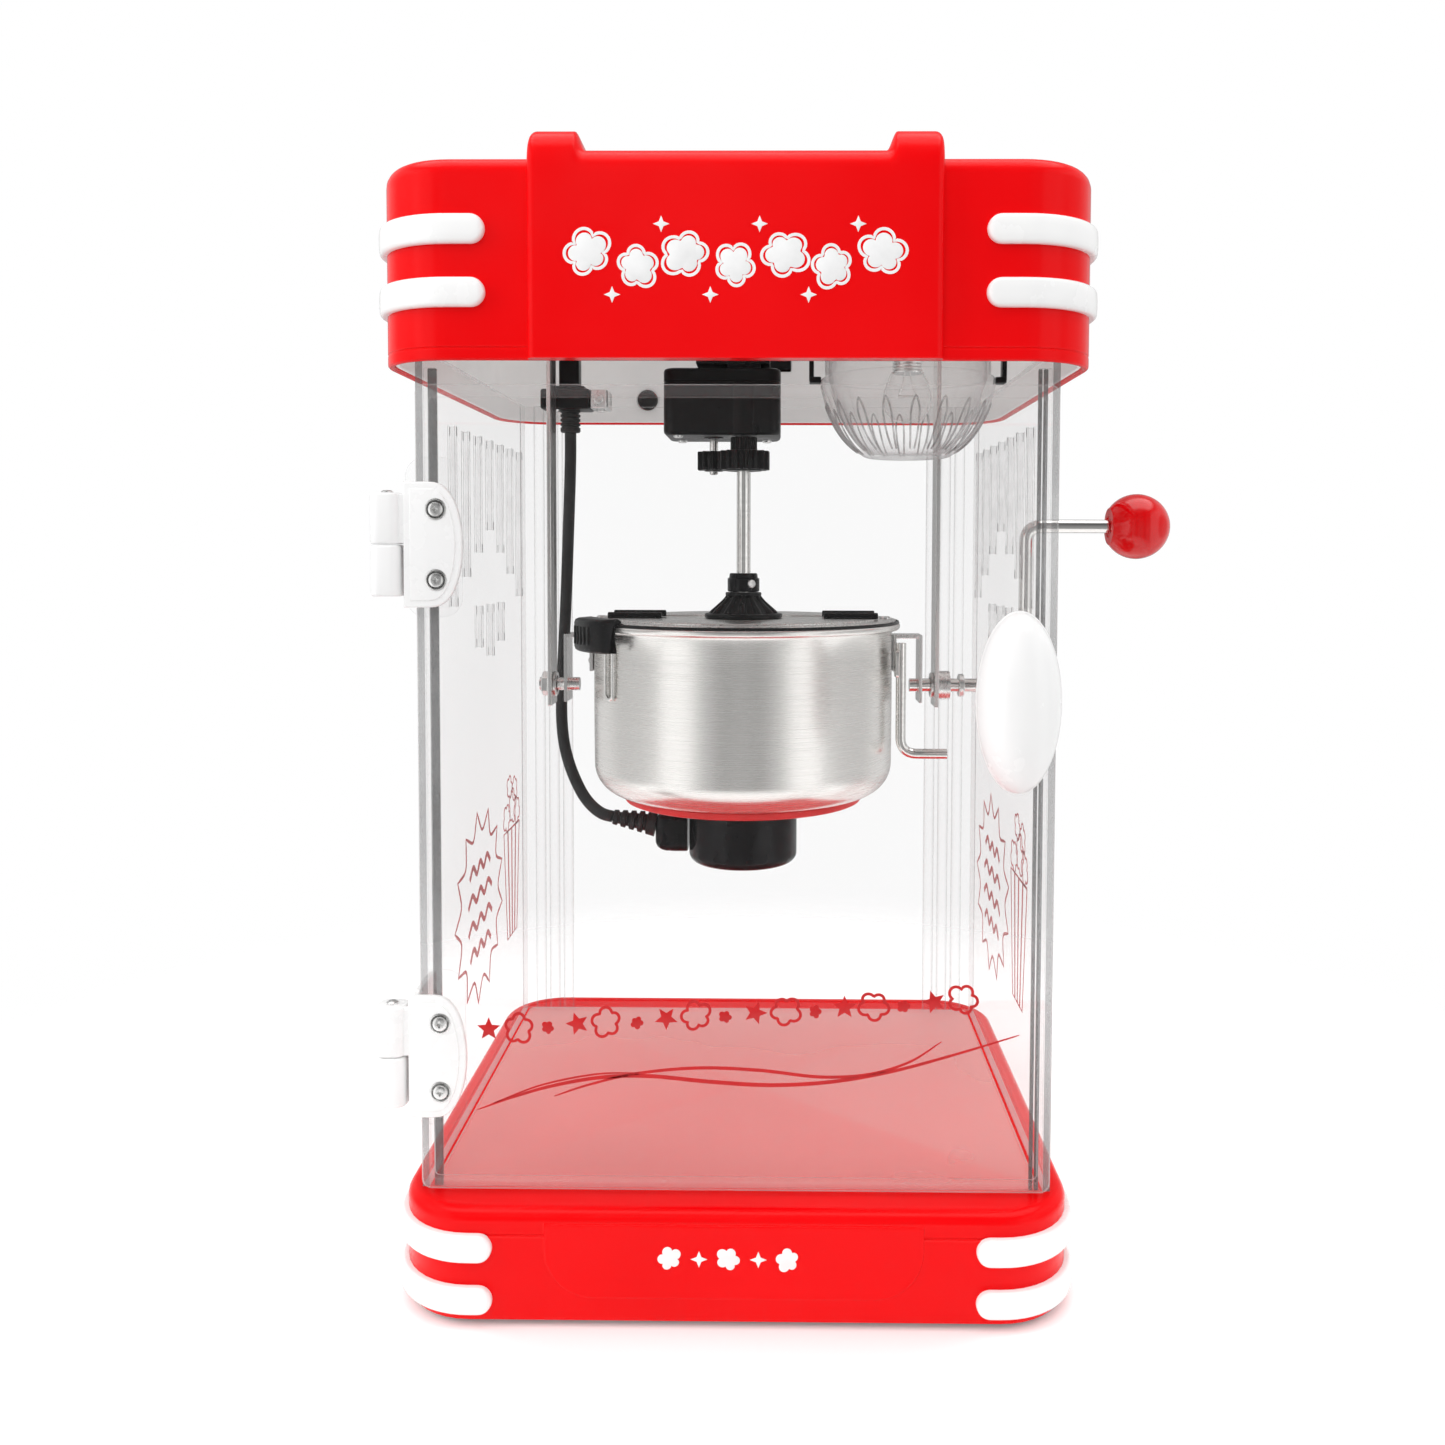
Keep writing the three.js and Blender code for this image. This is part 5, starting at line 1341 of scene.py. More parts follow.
def addGrip():
    low, high = corners("kettle_grip")
    cx, cy = kettleAxis()
    rim = (corners("kettle_pot")[1].x - corners("kettle_pot")[0].x) / 2
    middle = math.radians(gripSet["angle"])
    mesh = bmesh.new()
    rings = []
    count = 22
    for k in range(count + 1):
        t = -1 + 2 * k / count
        a = middle + math.radians(gripSet["spread"]) * t
        full = math.sqrt(max(1 - abs(t) ** 4, 0.02))
        outer = rim + 0.0003 + 0.0087 * full
        inner = rim + 0.0003
        top = high.z
        section = [(inner, low.z + 0.002), (inner + 0.003, low.z + 0.0004), (outer - 0.002, low.z),
                   (outer - 0.0006, low.z + 0.0008), (outer, low.z + 0.0024),
                   (outer - 0.0004, low.z + 0.006),
                   (outer, top - 0.0022), (outer - 0.0006, top - 0.0007), (outer - 0.002, top - 0.0001),
                   (inner - 0.0012, top + 0.0002), (inner - 0.0032, top - 0.0008),
                   (inner - 0.0034, top - 0.0020),
                   (inner - 0.0030, top - 0.0029), (inner, top - 0.0030)]
        rings.append([Vector((cx + r * math.cos(a), cy + r * math.sin(a), z)) for r, z in section])
    loft(mesh, rings)
    # Finger ridges along the outside.
    for k in range(5):
        a = middle + math.radians(-5.2 + 2.6 * k)
        at = Vector((cx + (rim + 0.0088) * math.cos(a), cy + (rim + 0.0088) * math.sin(a), 0))
        tube(mesh, [at + Vector((0, 0, low.z + 0.0035)), at + Vector((0, 0, high.z - 0.0035))], 0.0006, 10)
    # The wire loop that holds the grip to the pot's wall.
    half, drop = gripSet["loop"]
    turn = Matrix.Translation((cx, cy, 0)) @ Matrix.Rotation(middle + math.radians(4), 4, "Z")
    wall = kettleSet["radius"] + 0.0012
    wire = [(wall, -half, low.z + 0.003), (wall, -half, low.z - drop + half),
            (wall, -half * 0.7, low.z - drop + half * 0.3),
            (wall, 0, low.z - drop), (wall, half * 0.7, low.z - drop + half * 0.3),
            (wall, half, low.z - drop + half),
            (wall, half, low.z + 0.003)]
    tube(mesh, [turn @ Vector(v) for v in smoothPath(wire, 5)], 0.0009, 12, 1)
    addPiece("kettleGrip", mesh, "kettle", [blackLook, chromeLook], ("kettle_grip",), 35)


addGrip()


def halfDisc(radius, cut, side, cx, cy, notch=0.0, steps=64):
    # The part of a disc beyond a straight cut, with a round notch at its middle.
    points = []
    start = math.asin(cut / radius)
    for k in range(steps + 1):
        a = start + (math.pi - 2 * start) * k / steps
        points.append((radius * math.cos(a), radius * math.sin(a)))
    if notch:
        half = math.sqrt(max(notch * notch - cut * cut, 0))
        first = math.atan2(cut, -half)
        last = math.atan2(cut, half)
        for k in range(17):
            a = first + (last - first) * k / 16
            points.append((notch * math.cos(a), notch * math.sin(a)))
    outline = [(cx + x, cy + side * y) for x, y in points]
    return outline if side > 0 else outline[::-1]


lidSet = {"radius": 0.0745, "cut": 0.010, "notch": 0.0212, "step": 0.0007, "bridgeHalf": 0.009,
          "disc": 0.0205,
          "land": 0.009, "sleeve": 0.0016, "sleeveLength": 0.026, "sleeveOut": 0.0118,
          "bridgeScrew": 0.0695}


def addLids():
    cx, cy = kettleAxis()
    for side, node, body, name in ((-1, "lid_flap_front", "lid_front", "lidFront"),
                                   (1, "lid_flap_rear", "lid_rear", "lidRear")):
        low, high = corners(node)
        outline = halfDisc(lidSet["radius"], lidSet["cut"], side, cx, cy, lidSet["notch"])
        mesh = bmesh.new()
        pad(mesh, outline, low.z, high.z, 0.0004)
        land = lidSet["land"]
        pressed = halfDisc(lidSet["radius"] - land, lidSet["cut"] + land, side, cx, cy,
                           lidSet["notch"] + land)
        pad(mesh, pressed, high.z - 0.0004, high.z + lidSet["step"], 0.0006, identity, 0, 4, 0)
        addPiece(name, mesh, body, [lidLook], (node,))
        # Black hinge sleeves beside the bridge, with their pins.
        mesh = bmesh.new()
        for sign in (-1, 1):
            x0 = min(sign * 0.039, sign * 0.065)
            y = cy + side * lidSet["sleeveOut"]
            r, length = lidSet["sleeve"], lidSet["sleeveLength"]
            sleeve = [(0.0001, 0), (r - 0.0003, 0), (r, 0.0003), (r, length - 0.0003), (r - 0.0003, length),
                      (0.0001, length)]
            turned(mesh, sleeve, aim((cx + x0, y, high.z + 0.0018), (1, 0, 0)), 20)
            block(mesh, (cx + x0 + 0.003, y - 0.0008 if side > 0 else y - 0.0042, high.z - 0.0001),
                  (cx + x0 + 0.023, y + 0.0042 if side > 0 else y + 0.0008, high.z + 0.0012), 0.001, 0.0003)
        addPiece(name + "Hinges", mesh, body, [blackLook], ())
    low, high = corners("lid_bridge")
    half = lidSet["bridgeHalf"]
    outline = []
    disc = lidSet["disc"]
    turn, end = math.asin(half / disc), math.asin(half / lidSet["radius"])
    for k in range(9):
        a = -end + 2 * end * k / 8
        outline.append((lidSet["radius"] * math.cos(a), lidSet["radius"] * math.sin(a)))
    for k in range(17):
        a = turn + (math.pi - 2 * turn) * k / 16
        outline.append((disc * math.cos(a), disc * math.sin(a)))
    outline += [(-x, -y) for x, y in outline]
    mesh = bmesh.new()
    pad(mesh, [(cx + x, cy + y) for x, y in outline], low.z, high.z, 0.0004)
    for sign in (-1, 1):
        screw(mesh, (cx + sign * lidSet["bridgeScrew"], cy, high.z), (0, 0, 1), 0.0026, 1, 0.0012)
    addPiece("lidBridge", mesh, "kettle", [lidLook, screwLook], ("lid_bridge",))


addLids()


def addRimLip():
    # A thin black lip on the pot's rim, round the lid.
    cx, cy = kettleAxis()
    high = corners("kettle_pot")[1]
    r = lidSet["radius"] + 0.0003
    profile = [(r, high.z - 0.0006), (r + 0.0011, high.z - 0.0006), (r + 0.0014, high.z + 0.0001),
               (r + 0.0010, high.z + 0.0010), (r + 0.0003, high.z + 0.0012), (r, high.z + 0.0009)]
    mesh = bmesh.new()
    turned(mesh, profile, Matrix.Translation((cx, cy, 0)), 128, wrap=True)
    addPiece("rimLip", mesh, "kettle", [blackLook], (), 40)


addRimLip()


undersideSet = {"screws": 3, "screwRing": 0.048, "screw": 0.0028, "roll": 0.0045}


def addUnderside():
    # The enamelled plate, the element inside it and the glossy heater housing.
    cx, cy = kettleAxis()
    low, high = corners("heater_plate")
    r = (high.x - low.x) / 2
    ring, roll = undersideSet["screwRing"], undersideSet["roll"]
    mesh = bmesh.new()
    profile = [(0.0001, low.z), (r - 0.0012, low.z), (r - 0.0003, low.z + 0.0004), (r, low.z + 0.0012),
               (r, high.z - 0.0004), (r - 0.0004, high.z), (r - 0.0012, high.z),
               (r - 0.0012, low.z + 0.0012),
               (0.0001, low.z + 0.0012)]
    turned(mesh, profile, Matrix.Translation((cx, cy, 0)), 96)
    for k in range(undersideSet["screws"]):
        a = math.radians(90 + 360 / undersideSet["screws"] * k)
        screw(mesh, (cx + ring * math.cos(a), cy + ring * math.sin(a), low.z), (0, 0, -1),
              undersideSet["screw"], 1)
    addPiece("heaterPlate", mesh, "kettle", [enamelLook, screwLook], ("heater_plate",))
    fromNode("heating_element", [steelLook], "heatingElement", "kettle", 0.0004, None)
    low, high = corners("heater_housing")
    r = (high.x - low.x) / 2
    profile = [(0.0001, low.z + 0.0004), (r * 0.4, low.z + 0.0004), (r * 0.42, low.z)]
    profile += arc(r - roll, low.z + roll, roll, -90, 0, 8)
    profile += [(r, high.z - 0.0062), (r - 0.0005, high.z - 0.0060), (r - 0.0005, high.z - 0.0055),
                (r, high.z - 0.0053), (r, high.z - 0.0008), (r - 0.0008, high.z), (0.0001, high.z)]
    mesh = bmesh.new()
    turned(mesh, profile, Matrix.Translation((cx, cy, 0)), 96)
    addPiece("heaterHousing", mesh, "kettle", [glossBlackLook], ("heater_housing",))


addUnderside()

rodSet = {"stop": 0.0024, "crank": 0.00325, "bend": 0.008}


def addRods():
    cy = kettleAxis()[1]
    low, high = corners("stop_rod")
    y = (low.y + high.y) / 2
    x = kettleSet["radius"] + 0.0028
    foot = low.z + rodSet["stop"]
    path = bentPath([(x, y, high.z - 0.0008), (x, y, foot), (high.x, y, foot)], rodSet["bend"], 10)
    mesh = bmesh.new()
    tube(mesh, path, rodSet["stop"], 20)
    block(mesh, (x - 0.0028, y - 0.005, high.z - 0.017), (x - 0.0012, y + 0.005, high.z - 0.004), 0.0015,
          0.0003, "X")
    addPiece("stopRod", mesh, "kettle", [chromeLook], ("stop_rod",))
    low, high = corners("crank_rod")
    ball = centre("ball_knob")
    r = rodSet["crank"]
    armX = corners("side_panel_right")[1].x + 0.0065
    pivot = low.z + r
    path = bentPath([(low.x, cy, pivot), (armX, cy, pivot), (armX, cy, ball.z), (high.x, cy, ball.z)],
                    rodSet["bend"], 12)
    mesh = bmesh.new()
    tube(mesh, path, r, 28)
    addPiece("crankRod", mesh, "kettle", [chromeLook], ("crank_rod",))
    mesh = bmesh.new()
    # The retaining collar and clip ring on the crank, inside the cabinet.
    inside = aim((corners("fixed_strap_right")[1].x - 0.0036, cy, pivot), (1, 0, 0))
    ring = [(r + 0.0001, 0.0), (0.0052, 0.0), (0.0056, 0.0004), (0.0056, 0.0022), (0.0052, 0.0026),
            (r + 0.0001, 0.0026)]
    turned(mesh, ring, inside, 40, wrap=True)
    addPiece("crankClip", mesh, "kettle", [screwLook], ())
    low, high = corners("ball_knob")
    radius = (high.z - low.z) / 2
    middle = Vector((high.x - radius, cy, ball.z))
    cut = low.x - middle.x
    profile = [(r + 0.0004, cut + 0.006), (r + 0.0004, cut + 0.0012), (0.0050, cut + 0.0008), (0.0056, cut)]
    first = math.degrees(math.acos((cut + 0.0008) / radius))
    lip = math.radians(first)
    profile.append((radius * math.sin(lip) - 0.0004, radius * math.cos(lip) - 0.0006))
    for k in range(25):
        a = math.radians(first - 1.5 - (first - 1.5) * k / 24)
        profile.append((radius * math.sin(a), radius * math.cos(a)))
    mesh = bmesh.new()
    turned(mesh, profile, aim(middle, (1, 0, 0)), 72)
    addPiece("ballKnob", mesh, "kettle", [knobLook], ("ball_knob",), 30)


addRods()
print("kettle ready")

# Stirrer, gears and motor.

driveSet = {"module": 0.00149, "drivenTeeth": 16, "pinionTeeth": 10, "meshAngle": 141.9,
            "gearDepth": 0.0092,
            "bore": 0.0038, "collarBore": 0.0036, "shaft": 0.0034, "pin": 0.0021, "blade": 0.0018}


def gearOutline(teeth, angle, cx=0, cy=0):
    # Teeth with rounded tips and a short root land.
    m = driveSet["module"]
    pitch = m * teeth / 2
    tip, root = pitch + 0.5 * m, pitch - 0.85 * m
    points = []
    for i in range(teeth):
        middle = math.radians(angle) + 2 * math.pi * i / teeth
        shape = [(root, -0.84), (pitch - 0.2 * m, -0.60), (tip - 0.12 * m, -0.37), (tip, -0.22),
                 (tip, 0.22),
                 (tip - 0.12 * m, 0.37), (pitch - 0.2 * m, 0.60), (root, 0.84)]
        for radius, offset in shape:
            a = middle + offset * m / radius
            points.append((cx + radius * math.cos(a), cy + radius * math.sin(a)))
    return points


def pinionAxis():
    joint = next(j for j in frame["joints"] if j["name"] == "pinion_spin")
    return joint["pos_m"][0], joint["pos_m"][1]


def addDrive():
    cx, cy = kettleAxis()
    axis = Matrix.Translation((cx, cy, 0))
    # Star-ribbed hub on the lid.
    low, high = corners("stir_hub")
    r0 = (high.x - low.x) / 2
    bore = driveSet["bore"]
    profile = [(bore, low.z), (r0 - 0.0004, low.z), (r0, low.z + 0.0004), (r0, low.z + 0.0018),
               (r0 - 0.0005, low.z + 0.0022)]
    mesh = bmesh.new()
    turned(mesh, profile + [(bore, low.z + 0.0022)], axis, 72)

    def ribs(angle, k):
        share = max(0.0, math.cos(12 * angle)) ** 0.5
        return 0.86 + 0.14 * share if 1 <= k <= 5 else 1

    cone = [(bore, low.z + 0.002), (0.0172, low.z + 0.002), (0.0160, low.z + 0.0036),
            (0.0130, low.z + 0.0062),
            (0.0105, low.z + 0.0085), (0.0092, low.z + 0.0100), (0.0086, high.z - 0.0016),
            (0.0088, high.z - 0.0014),
            (0.0088, high.z - 0.0003), (0.0085, high.z), (bore, high.z)]
    turned(mesh, cone, axis, 144, wave=ribs)
    addPiece("stirHub", mesh, "kettle", [blackLook], ("stir_hub",), 30)
    # Collar with a set screw.
    collarBore = driveSet["collarBore"]
    low, high = corners("shaft_collar")
    r = (high.x - low.x) / 2
    profile = [(collarBore, low.z), (r - 0.0005, low.z), (r, low.z + 0.0005), (r, high.z - 0.0026),
               (r - 0.0008, high.z - 0.0022),
               (r - 0.0010, high.z - 0.0004), (r - 0.0014, high.z), (collarBore, high.z)]
    mesh = bmesh.new()
    turned(mesh, profile, axis, 64, wrap=True)
    a = math.radians(-58)
    at = Vector((cx + r * math.cos(a), cy + r * math.sin(a), (low.z + high.z) / 2 - 0.0006))
    screw(mesh, at, (math.cos(a), math.sin(a), 0), 0.0021, 1, 0.0006)
    addPiece("shaftCollar", mesh, "stirrer", [glossBlackLook, screwLook], ("shaft_collar",))
    # Shaft and stirring blade.
    low, high = corners("stir_shaft")
    mesh = bmesh.new()
    r, blade = driveSet["shaft"], driveSet["blade"]
    turned(mesh, [(0.0001, low.z), (r, low.z), (r, high.z - 0.0006), (r - 0.0006, high.z),
                  (0.0001, high.z)], axis, 40)
    block(mesh, (low.x, cy - blade, low.z + 0.0001), (high.x, cy + blade, low.z + 0.003), 0.0014, 0.0005)
    for sign in (-1, 1):
        edge = sign * (high.x - cx)
        block(mesh, (min(edge, edge - sign * 0.003), cy - blade, low.z + 0.0002),
              (max(edge, edge - sign * 0.003), cy + blade, low.z + 0.014), 0.0012, 0.0005)
    turned(mesh, [(0.0001, low.z + 0.0001), (0.006, low.z + 0.0001), (0.006, low.z + 0.004),
                  (0.0045, low.z + 0.006),
                  (0.0001, low.z + 0.006)], axis, 32)
    addPiece("stirShaft", mesh, "stirrer", [chromeLook], ("stir_shaft",))
    # Driven gear with its ribbed neck.
    low, high = corners("driven_gear")
    gearTop = low.z + driveSet["gearDepth"]
    mesh = bmesh.new()
    pad(mesh, gearOutline(driveSet["drivenTeeth"], driveSet["meshAngle"], cx, cy), low.z, gearTop, 0.0004,
        identity, 0, 2)
    turned(mesh, [(0.0085, low.z - 0.0001), (0.0090, low.z - 0.0004), (0.0046, low.z - 0.0004),
                  (0.0040, low.z - 0.0001)],
           axis, 40, wrap=True)

    def neckRibs(angle, k):
        return 0.90 + 0.10 * max(0.0, math.cos(14 * angle)) ** 0.4

    turned(mesh, [(0.0001, gearTop - 0.001), (0.0065, gearTop - 0.001), (0.0065, high.z - 0.0005),
                  (0.0062, high.z),
                  (0.0001, high.z)], axis, 112, wave=neckRibs)
    addPiece("drivenGear", mesh, "stirrer", [blackLook], ("driven_gear",), 30)
    # Pinion on the motor's steel pin.
    low, high = corners("pinion")
    px, py = pinionAxis()
    bottom = corners("driven_gear")[0].z + 0.0006
    mesh = bmesh.new()
    turn = driveSet["meshAngle"] + 180 + 180 / driveSet["pinionTeeth"]
    pad(mesh, gearOutline(driveSet["pinionTeeth"], turn, px, py), bottom, bottom + driveSet["gearDepth"],
        0.0004, identity, 0, 2)
    turned(mesh, [(0.0045, bottom - 0.0005), (0.0048, bottom), (0.0001, bottom)],
           Matrix.Translation((px, py, 0)), 32)
    turned(mesh, [(0.0001, low.z), (0.0016, low.z), (driveSet["pin"], low.z + 0.0005),
                  (driveSet["pin"], high.z), (0.0001, high.z)],
           Matrix.Translation((px, py, 0)), 32, 1)
    addPiece("pinionGear", mesh, "pinion", [blackLook, chromeLook], ("pinion",), 30)


addDrive()

motorSet = {"corner": 0.006, "edge": 0.0022, "seam": 0.0066, "column": 0.0085, "screwIn": 0.007}


def addMotorCover():
    low, high = corners("motor_cover")
    cx, cy = kettleAxis()
    front = low.y + 0.0015
    px, py = pinionAxis()
    halfX, halfY = (high.x - low.x) / 2, (high.y - front) / 2
    at = ((high.x + low.x) / 2, (high.y + front) / 2)
    edge, seam = motorSet["edge"], high.z - motorSet["seam"]
    levels = [(0.006, low.z + 0.0002)] + [(edge - x, z) for x, z in arc(0, low.z + edge, edge, -90, 0, 5)]
    levels += [(0, seam - 0.0004), (0.0005, seam - 0.0002), (0.0005, seam + 0.0003), (0, seam + 0.0005),
               (0, high.z - 0.0016), (0.0005, high.z - 0.0005), (0.0016, high.z), (0.006, high.z)]
    rings = [[Vector((x, y, z)) for x, y in roundPlan(halfX - s, halfY - s,
                                                      motorSet["corner"] - min(s, 0.004), 8, at)]
             for s, z in levels]
    mesh = bmesh.new()
    loft(mesh, rings)
    column, screwIn = motorSet["column"], motorSet["screwIn"]
    # Bearing column on the front face and the collar round the motor's pin.
    turned(mesh, [(0.0001, low.z), (0.0078, low.z), (column, low.z + 0.0007), (column, seam - 0.0006),
                  (0.0080, seam), (0.0001, seam)], Matrix.Translation((cx, cy, 0)), 56)
    turned(mesh, [(0.0030, low.z - 0.0003), (0.0048, low.z - 0.0003), (0.0052, low.z + 0.0008),
                  (0.0030, low.z + 0.0008)],
           Matrix.Translation((px, py, 0)), 40, wrap=True)
    for x, y in ((low.x + screwIn, front + screwIn), (low.x + screwIn, high.y - screwIn),
                 (high.x - screwIn, high.y - screwIn)):
        screw(mesh, (x, y, low.z + 0.0001), (0, 0, -1), 0.0024, 1, 0.0011)
    addPiece("motorCover", mesh, "cabinet", [blackLook, screwLook], ("motor_cover",), 30)
    fromNode("motor_mount", [blackLook], "motorMount", "cabinet", 0.0009, None)
    fromNode("drive_motor", [steelLook], "driveMotor", "cabinet", 0.0006, None)


addMotorCover()


def addStraps():
    cy = kettleAxis()[1]
    for hand, sign in (("left", -1), ("right", 1)):
        node = f"fixed_strap_{hand}"
        low, high = corners(node)
        fromNode(node, [steelLook], f"fixedStrap{hand.title()}", "cabinet", 0.0004, None)
        mesh = bmesh.new()
        for dy in (-0.004, 0.004):
            screw(mesh, (sign * 0.1035, cy + dy, high.z - 0.0020), (0, 0, -1), 0.0026)
        inner = sign * min(abs(low.x), abs(high.x))
        place = aim((inner, cy, 0.25), (-sign, 0, 0))
        turned(mesh, [(0.0040, 0), (0.0058, 0), (0.0062, 0.0004), (0.0062, 0.0011), (0.0058, 0.0015),
                      (0.0040, 0.0015)],
               place, 40, wrap=True)
        addPiece(f"strapFittings{hand.title()}", mesh, "cabinet", [screwLook], ())


addStraps()


def addStrainBlock():
    low, high = corners("strain_block")
    x, y = leadSet["route"][0][0] / 1000, leadSet["route"][0][1] / 1000
    bottom = low.z + 0.011
    mesh = bmesh.new()
    block(mesh, (low.x, low.y, bottom), (high.x - 0.009, high.y, bottom + 0.010), 0.002, 0.0012)
    block(mesh, (x - 0.005, y - 0.005, bottom + 0.0095), (x + 0.005, y + 0.005, high.z), 0.0012, 0.0004)
    block(mesh, (low.x + 0.003, low.y + 0.002, bottom + 0.0098),
          (high.x - 0.012, high.y - 0.002, bottom + 0.0116),
          0.0015, 0.0005)
    sleeve = [(0.0031, low.z), (0.0046, low.z), (0.0050, low.z + 0.0006)]
    for k in range(4):
        z = low.z + 0.0012 + 0.0022 * k
        sleeve += [(0.0050, z), (0.0050, z + 0.0011), (0.0043, z + 0.0013), (0.0043, z + 0.0019)]
    sleeve += [(0.0050, low.z + 0.0102), (0.0050, low.z + 0.0115), (0.0031, low.z + 0.0115)]
    turned(mesh, sleeve, Matrix.Translation((x, y, 0)), 40, 1)
    screw(mesh, (low.x + 0.007, y - 0.003, bottom + 0.0001), (0, 0, -1), 0.0026, 2, 0.0012)
    # The bright clamp end with its bolt.
    block(mesh, (high.x - 0.0092, low.y + 0.0006, bottom + 0.0004),
          (high.x, high.y - 0.0006, bottom + 0.0096),
          0.0016, 0.0008, "Z", 2)
    screw(mesh, (high.x - 0.0046, low.y + 0.0006, bottom + 0.005), (0, -1, 0), 0.0026, 2, 0.0010)
    screw(mesh, (high.x - 0.0046, y, bottom + 0.0004), (0, 0, -1), 0.0024, 2, 0.0012)
    addPiece("strainBlock", mesh, "cabinet", [blackLook, rubberLook, screwLook], ("strain_block",))


addStrainBlock()
print("drive and straps ready")

# Lamp.

lampSet = {"petals": 18, "wall": 0.0016, "loops": 18, "spread": 0.075, "ridge": 0.00042}


def addLamp():
    low, high = corners("lamp_bowl")
    middle = (low + high) / 2
    place = Matrix.Translation((middle.x, middle.y, 0))
    bowl = (high.x - low.x) / 2
    w = lampSet["wall"]
    # (outer radius, height above the bottom, flute depth)
    shape = [(0.0001, 0, 0), (0.012, 0.0002, 0), (0.0175, 0, 0), (0.0190, 0.0004, 0.0),
             (0.0222, 0.0024, 0.035),
             (0.0262, 0.0056, 0.055), (0.0295, 0.0092, 0.060), (0.0325, 0.0136, 0.058),
             (0.0349, 0.0184, 0.052),
             (0.0366, 0.0232, 0.042), (0.0377, 0.0274, 0.028), (0.0382, 0.0294, 0.008),
             (bowl - 0.0002, 0.0300, 0),
             (bowl, 0.0308, 0), (bowl, 0.0338, 0), (bowl - 0.0006, 0.0346, 0), (bowl - 0.002, 0.035, 0)]
    flutes = [depth for r, z, depth in shape]

    def petals(angle, k):
        depth = flutes[k] if k < len(flutes) else 0
        return 1 - depth * (1 - abs(math.sin(lampSet["petals"] * angle / 2)))

    outer = [(r, low.z + z) for r, z, depth in shape] + [(bowl - 0.002, high.z)]
    inner = [(bowl - 0.002 - w, high.z), (bowl - 0.002 - w, low.z + 0.034),
             (bowl - 0.004 - w, low.z + 0.0285),
             (0.0325 - w, low.z + 0.0195), (0.0262 - w, low.z + 0.0095), (0.0185 - w, low.z + w + 0.0004),
             (0.0001, low.z + w)]
    mesh = bmesh.new()
    turned(mesh, outer + inner, place, 240, wave=petals)
    addPiece("lampBowl", mesh, "cabinet", [bowlLook], ("lamp_bowl",), 50)
    # Each flute is outlined by a raised loop that is round at the top and open at the foot.
    mesh = bmesh.new()
    skin = [(r, z) for r, z in outer if low.z + 0.0022 < z < low.z + 0.025]
    for petal in range(lampSet["loops"]):
        around = 2 * math.pi * (petal + 0.5) / lampSet["loops"]
        path = []
        for side in (-1, 1):
            stretch = []
            for k, (r, z) in enumerate(skin):
                t = k / (len(skin) - 1)
                spread = lampSet["spread"] * math.sqrt(max(1 - t ** 3, 0)) * (0.55 + 0.45 * t)
                a = around + side * spread
                reach = r * petals(a, 4 + k) - 0.0001
                stretch.append((middle.x + reach * math.cos(a), middle.y + reach * math.sin(a), z))
            path += stretch if side < 0 else stretch[-2::-1]
        tube(mesh, smoothPath(path, 4), lampSet["ridge"], 8)
    addPiece("lampBowlFlutes", mesh, "cabinet", [fluteLook], (), 50)
    mesh = bmesh.new()
    for sign in (-1, 1):
        x = middle.x + sign * (bowl + 0.0006)
        block(mesh, (x - 0.0042 if sign < 0 else x - 0.0008, middle.y - 0.004, low.z + 0.0326),
              (x + 0.0008 if sign < 0 else x + 0.0042, middle.y + 0.004, low.z + 0.0352), 0.001, 0.0004)
        block(mesh, (x - 0.0044 if sign < 0 else x + 0.0024, middle.y - 0.003, low.z + 0.034),
              (x - 0.0024 if sign < 0 else x + 0.0044, middle.y + 0.003, high.z), 0.0006, 0.0003)
    addPiece("lampClips", mesh, "cabinet", [blackLook], ())
    low, high = corners("lamp_socket")
    r = (high.x - low.x) / 2
    profile = [(0.0001, low.z), (r - 0.002, low.z), (r - 0.0005, low.z + 0.0006),
               (r - 0.0005, low.z + 0.004),
               (r, low.z + 0.005), (r, high.z), (0.0001, high.z)]
    mesh = bmesh.new()
    turned(mesh, profile, place, 48)
    addPiece("lampSocket", mesh, "cabinet", [whiteLook], ("lamp_socket",))
    low, high = corners("lamp_bulb")
    r = (high.x - low.x) / 2
    profile = [(0.0001, low.z), (r * 0.35, low.z + 0.0005), (r * 0.66, low.z + 0.0022),
               (r * 0.88, low.z + 0.0052),
               (r, low.z + 0.0098), (r * 0.96, low.z + 0.0140), (r * 0.82, low.z + 0.0185),
               (r * 0.66, low.z + 0.0225)]
    mesh = bmesh.new()
    turned(mesh, profile + [(0.0001, low.z + 0.0225)], place, 48, 0)
    thread = [(0.0001, low.z + 0.022), (r * 0.6, low.z + 0.022)]
    z = low.z + 0.0226
    while z < high.z - 0.0016:
        thread += [(r * 0.62, z), (r * 0.56, z + 0.0007)]
        z += 0.0014
    thread += [(r * 0.6, high.z), (0.0001, high.z)]
    turned(mesh, thread, place, 40, 1)
    stem = low.z + 0.012
    for sign in (-1, 1):
        tube(mesh, smoothPath([(middle.x + sign * 0.0012, middle.y, low.z + 0.022),
                               (middle.x + sign * 0.0022, middle.y, low.z + 0.017),
                               (middle.x + sign * 0.0040, middle.y, stem)], 4), 0.0003, 8, 1)
    coil = [(middle.x - 0.0040 + 0.0080 * k / 60, middle.y + 0.0006 * math.cos(k * 1.3),
             stem + 0.0006 * math.sin(k * 1.3)) for k in range(61)]
    tube(mesh, coil, 0.00018, 6, 1)
    addPiece("lampBulb", mesh, "cabinet", [bulbLook, screwLook], ("lamp_bulb",))


addLamp()

# Rear switches and gland.

switchSet = {"frame": 0.0018, "proud": 0.0009, "glandRadius": 0.0056, "glandBore": 0.0036}


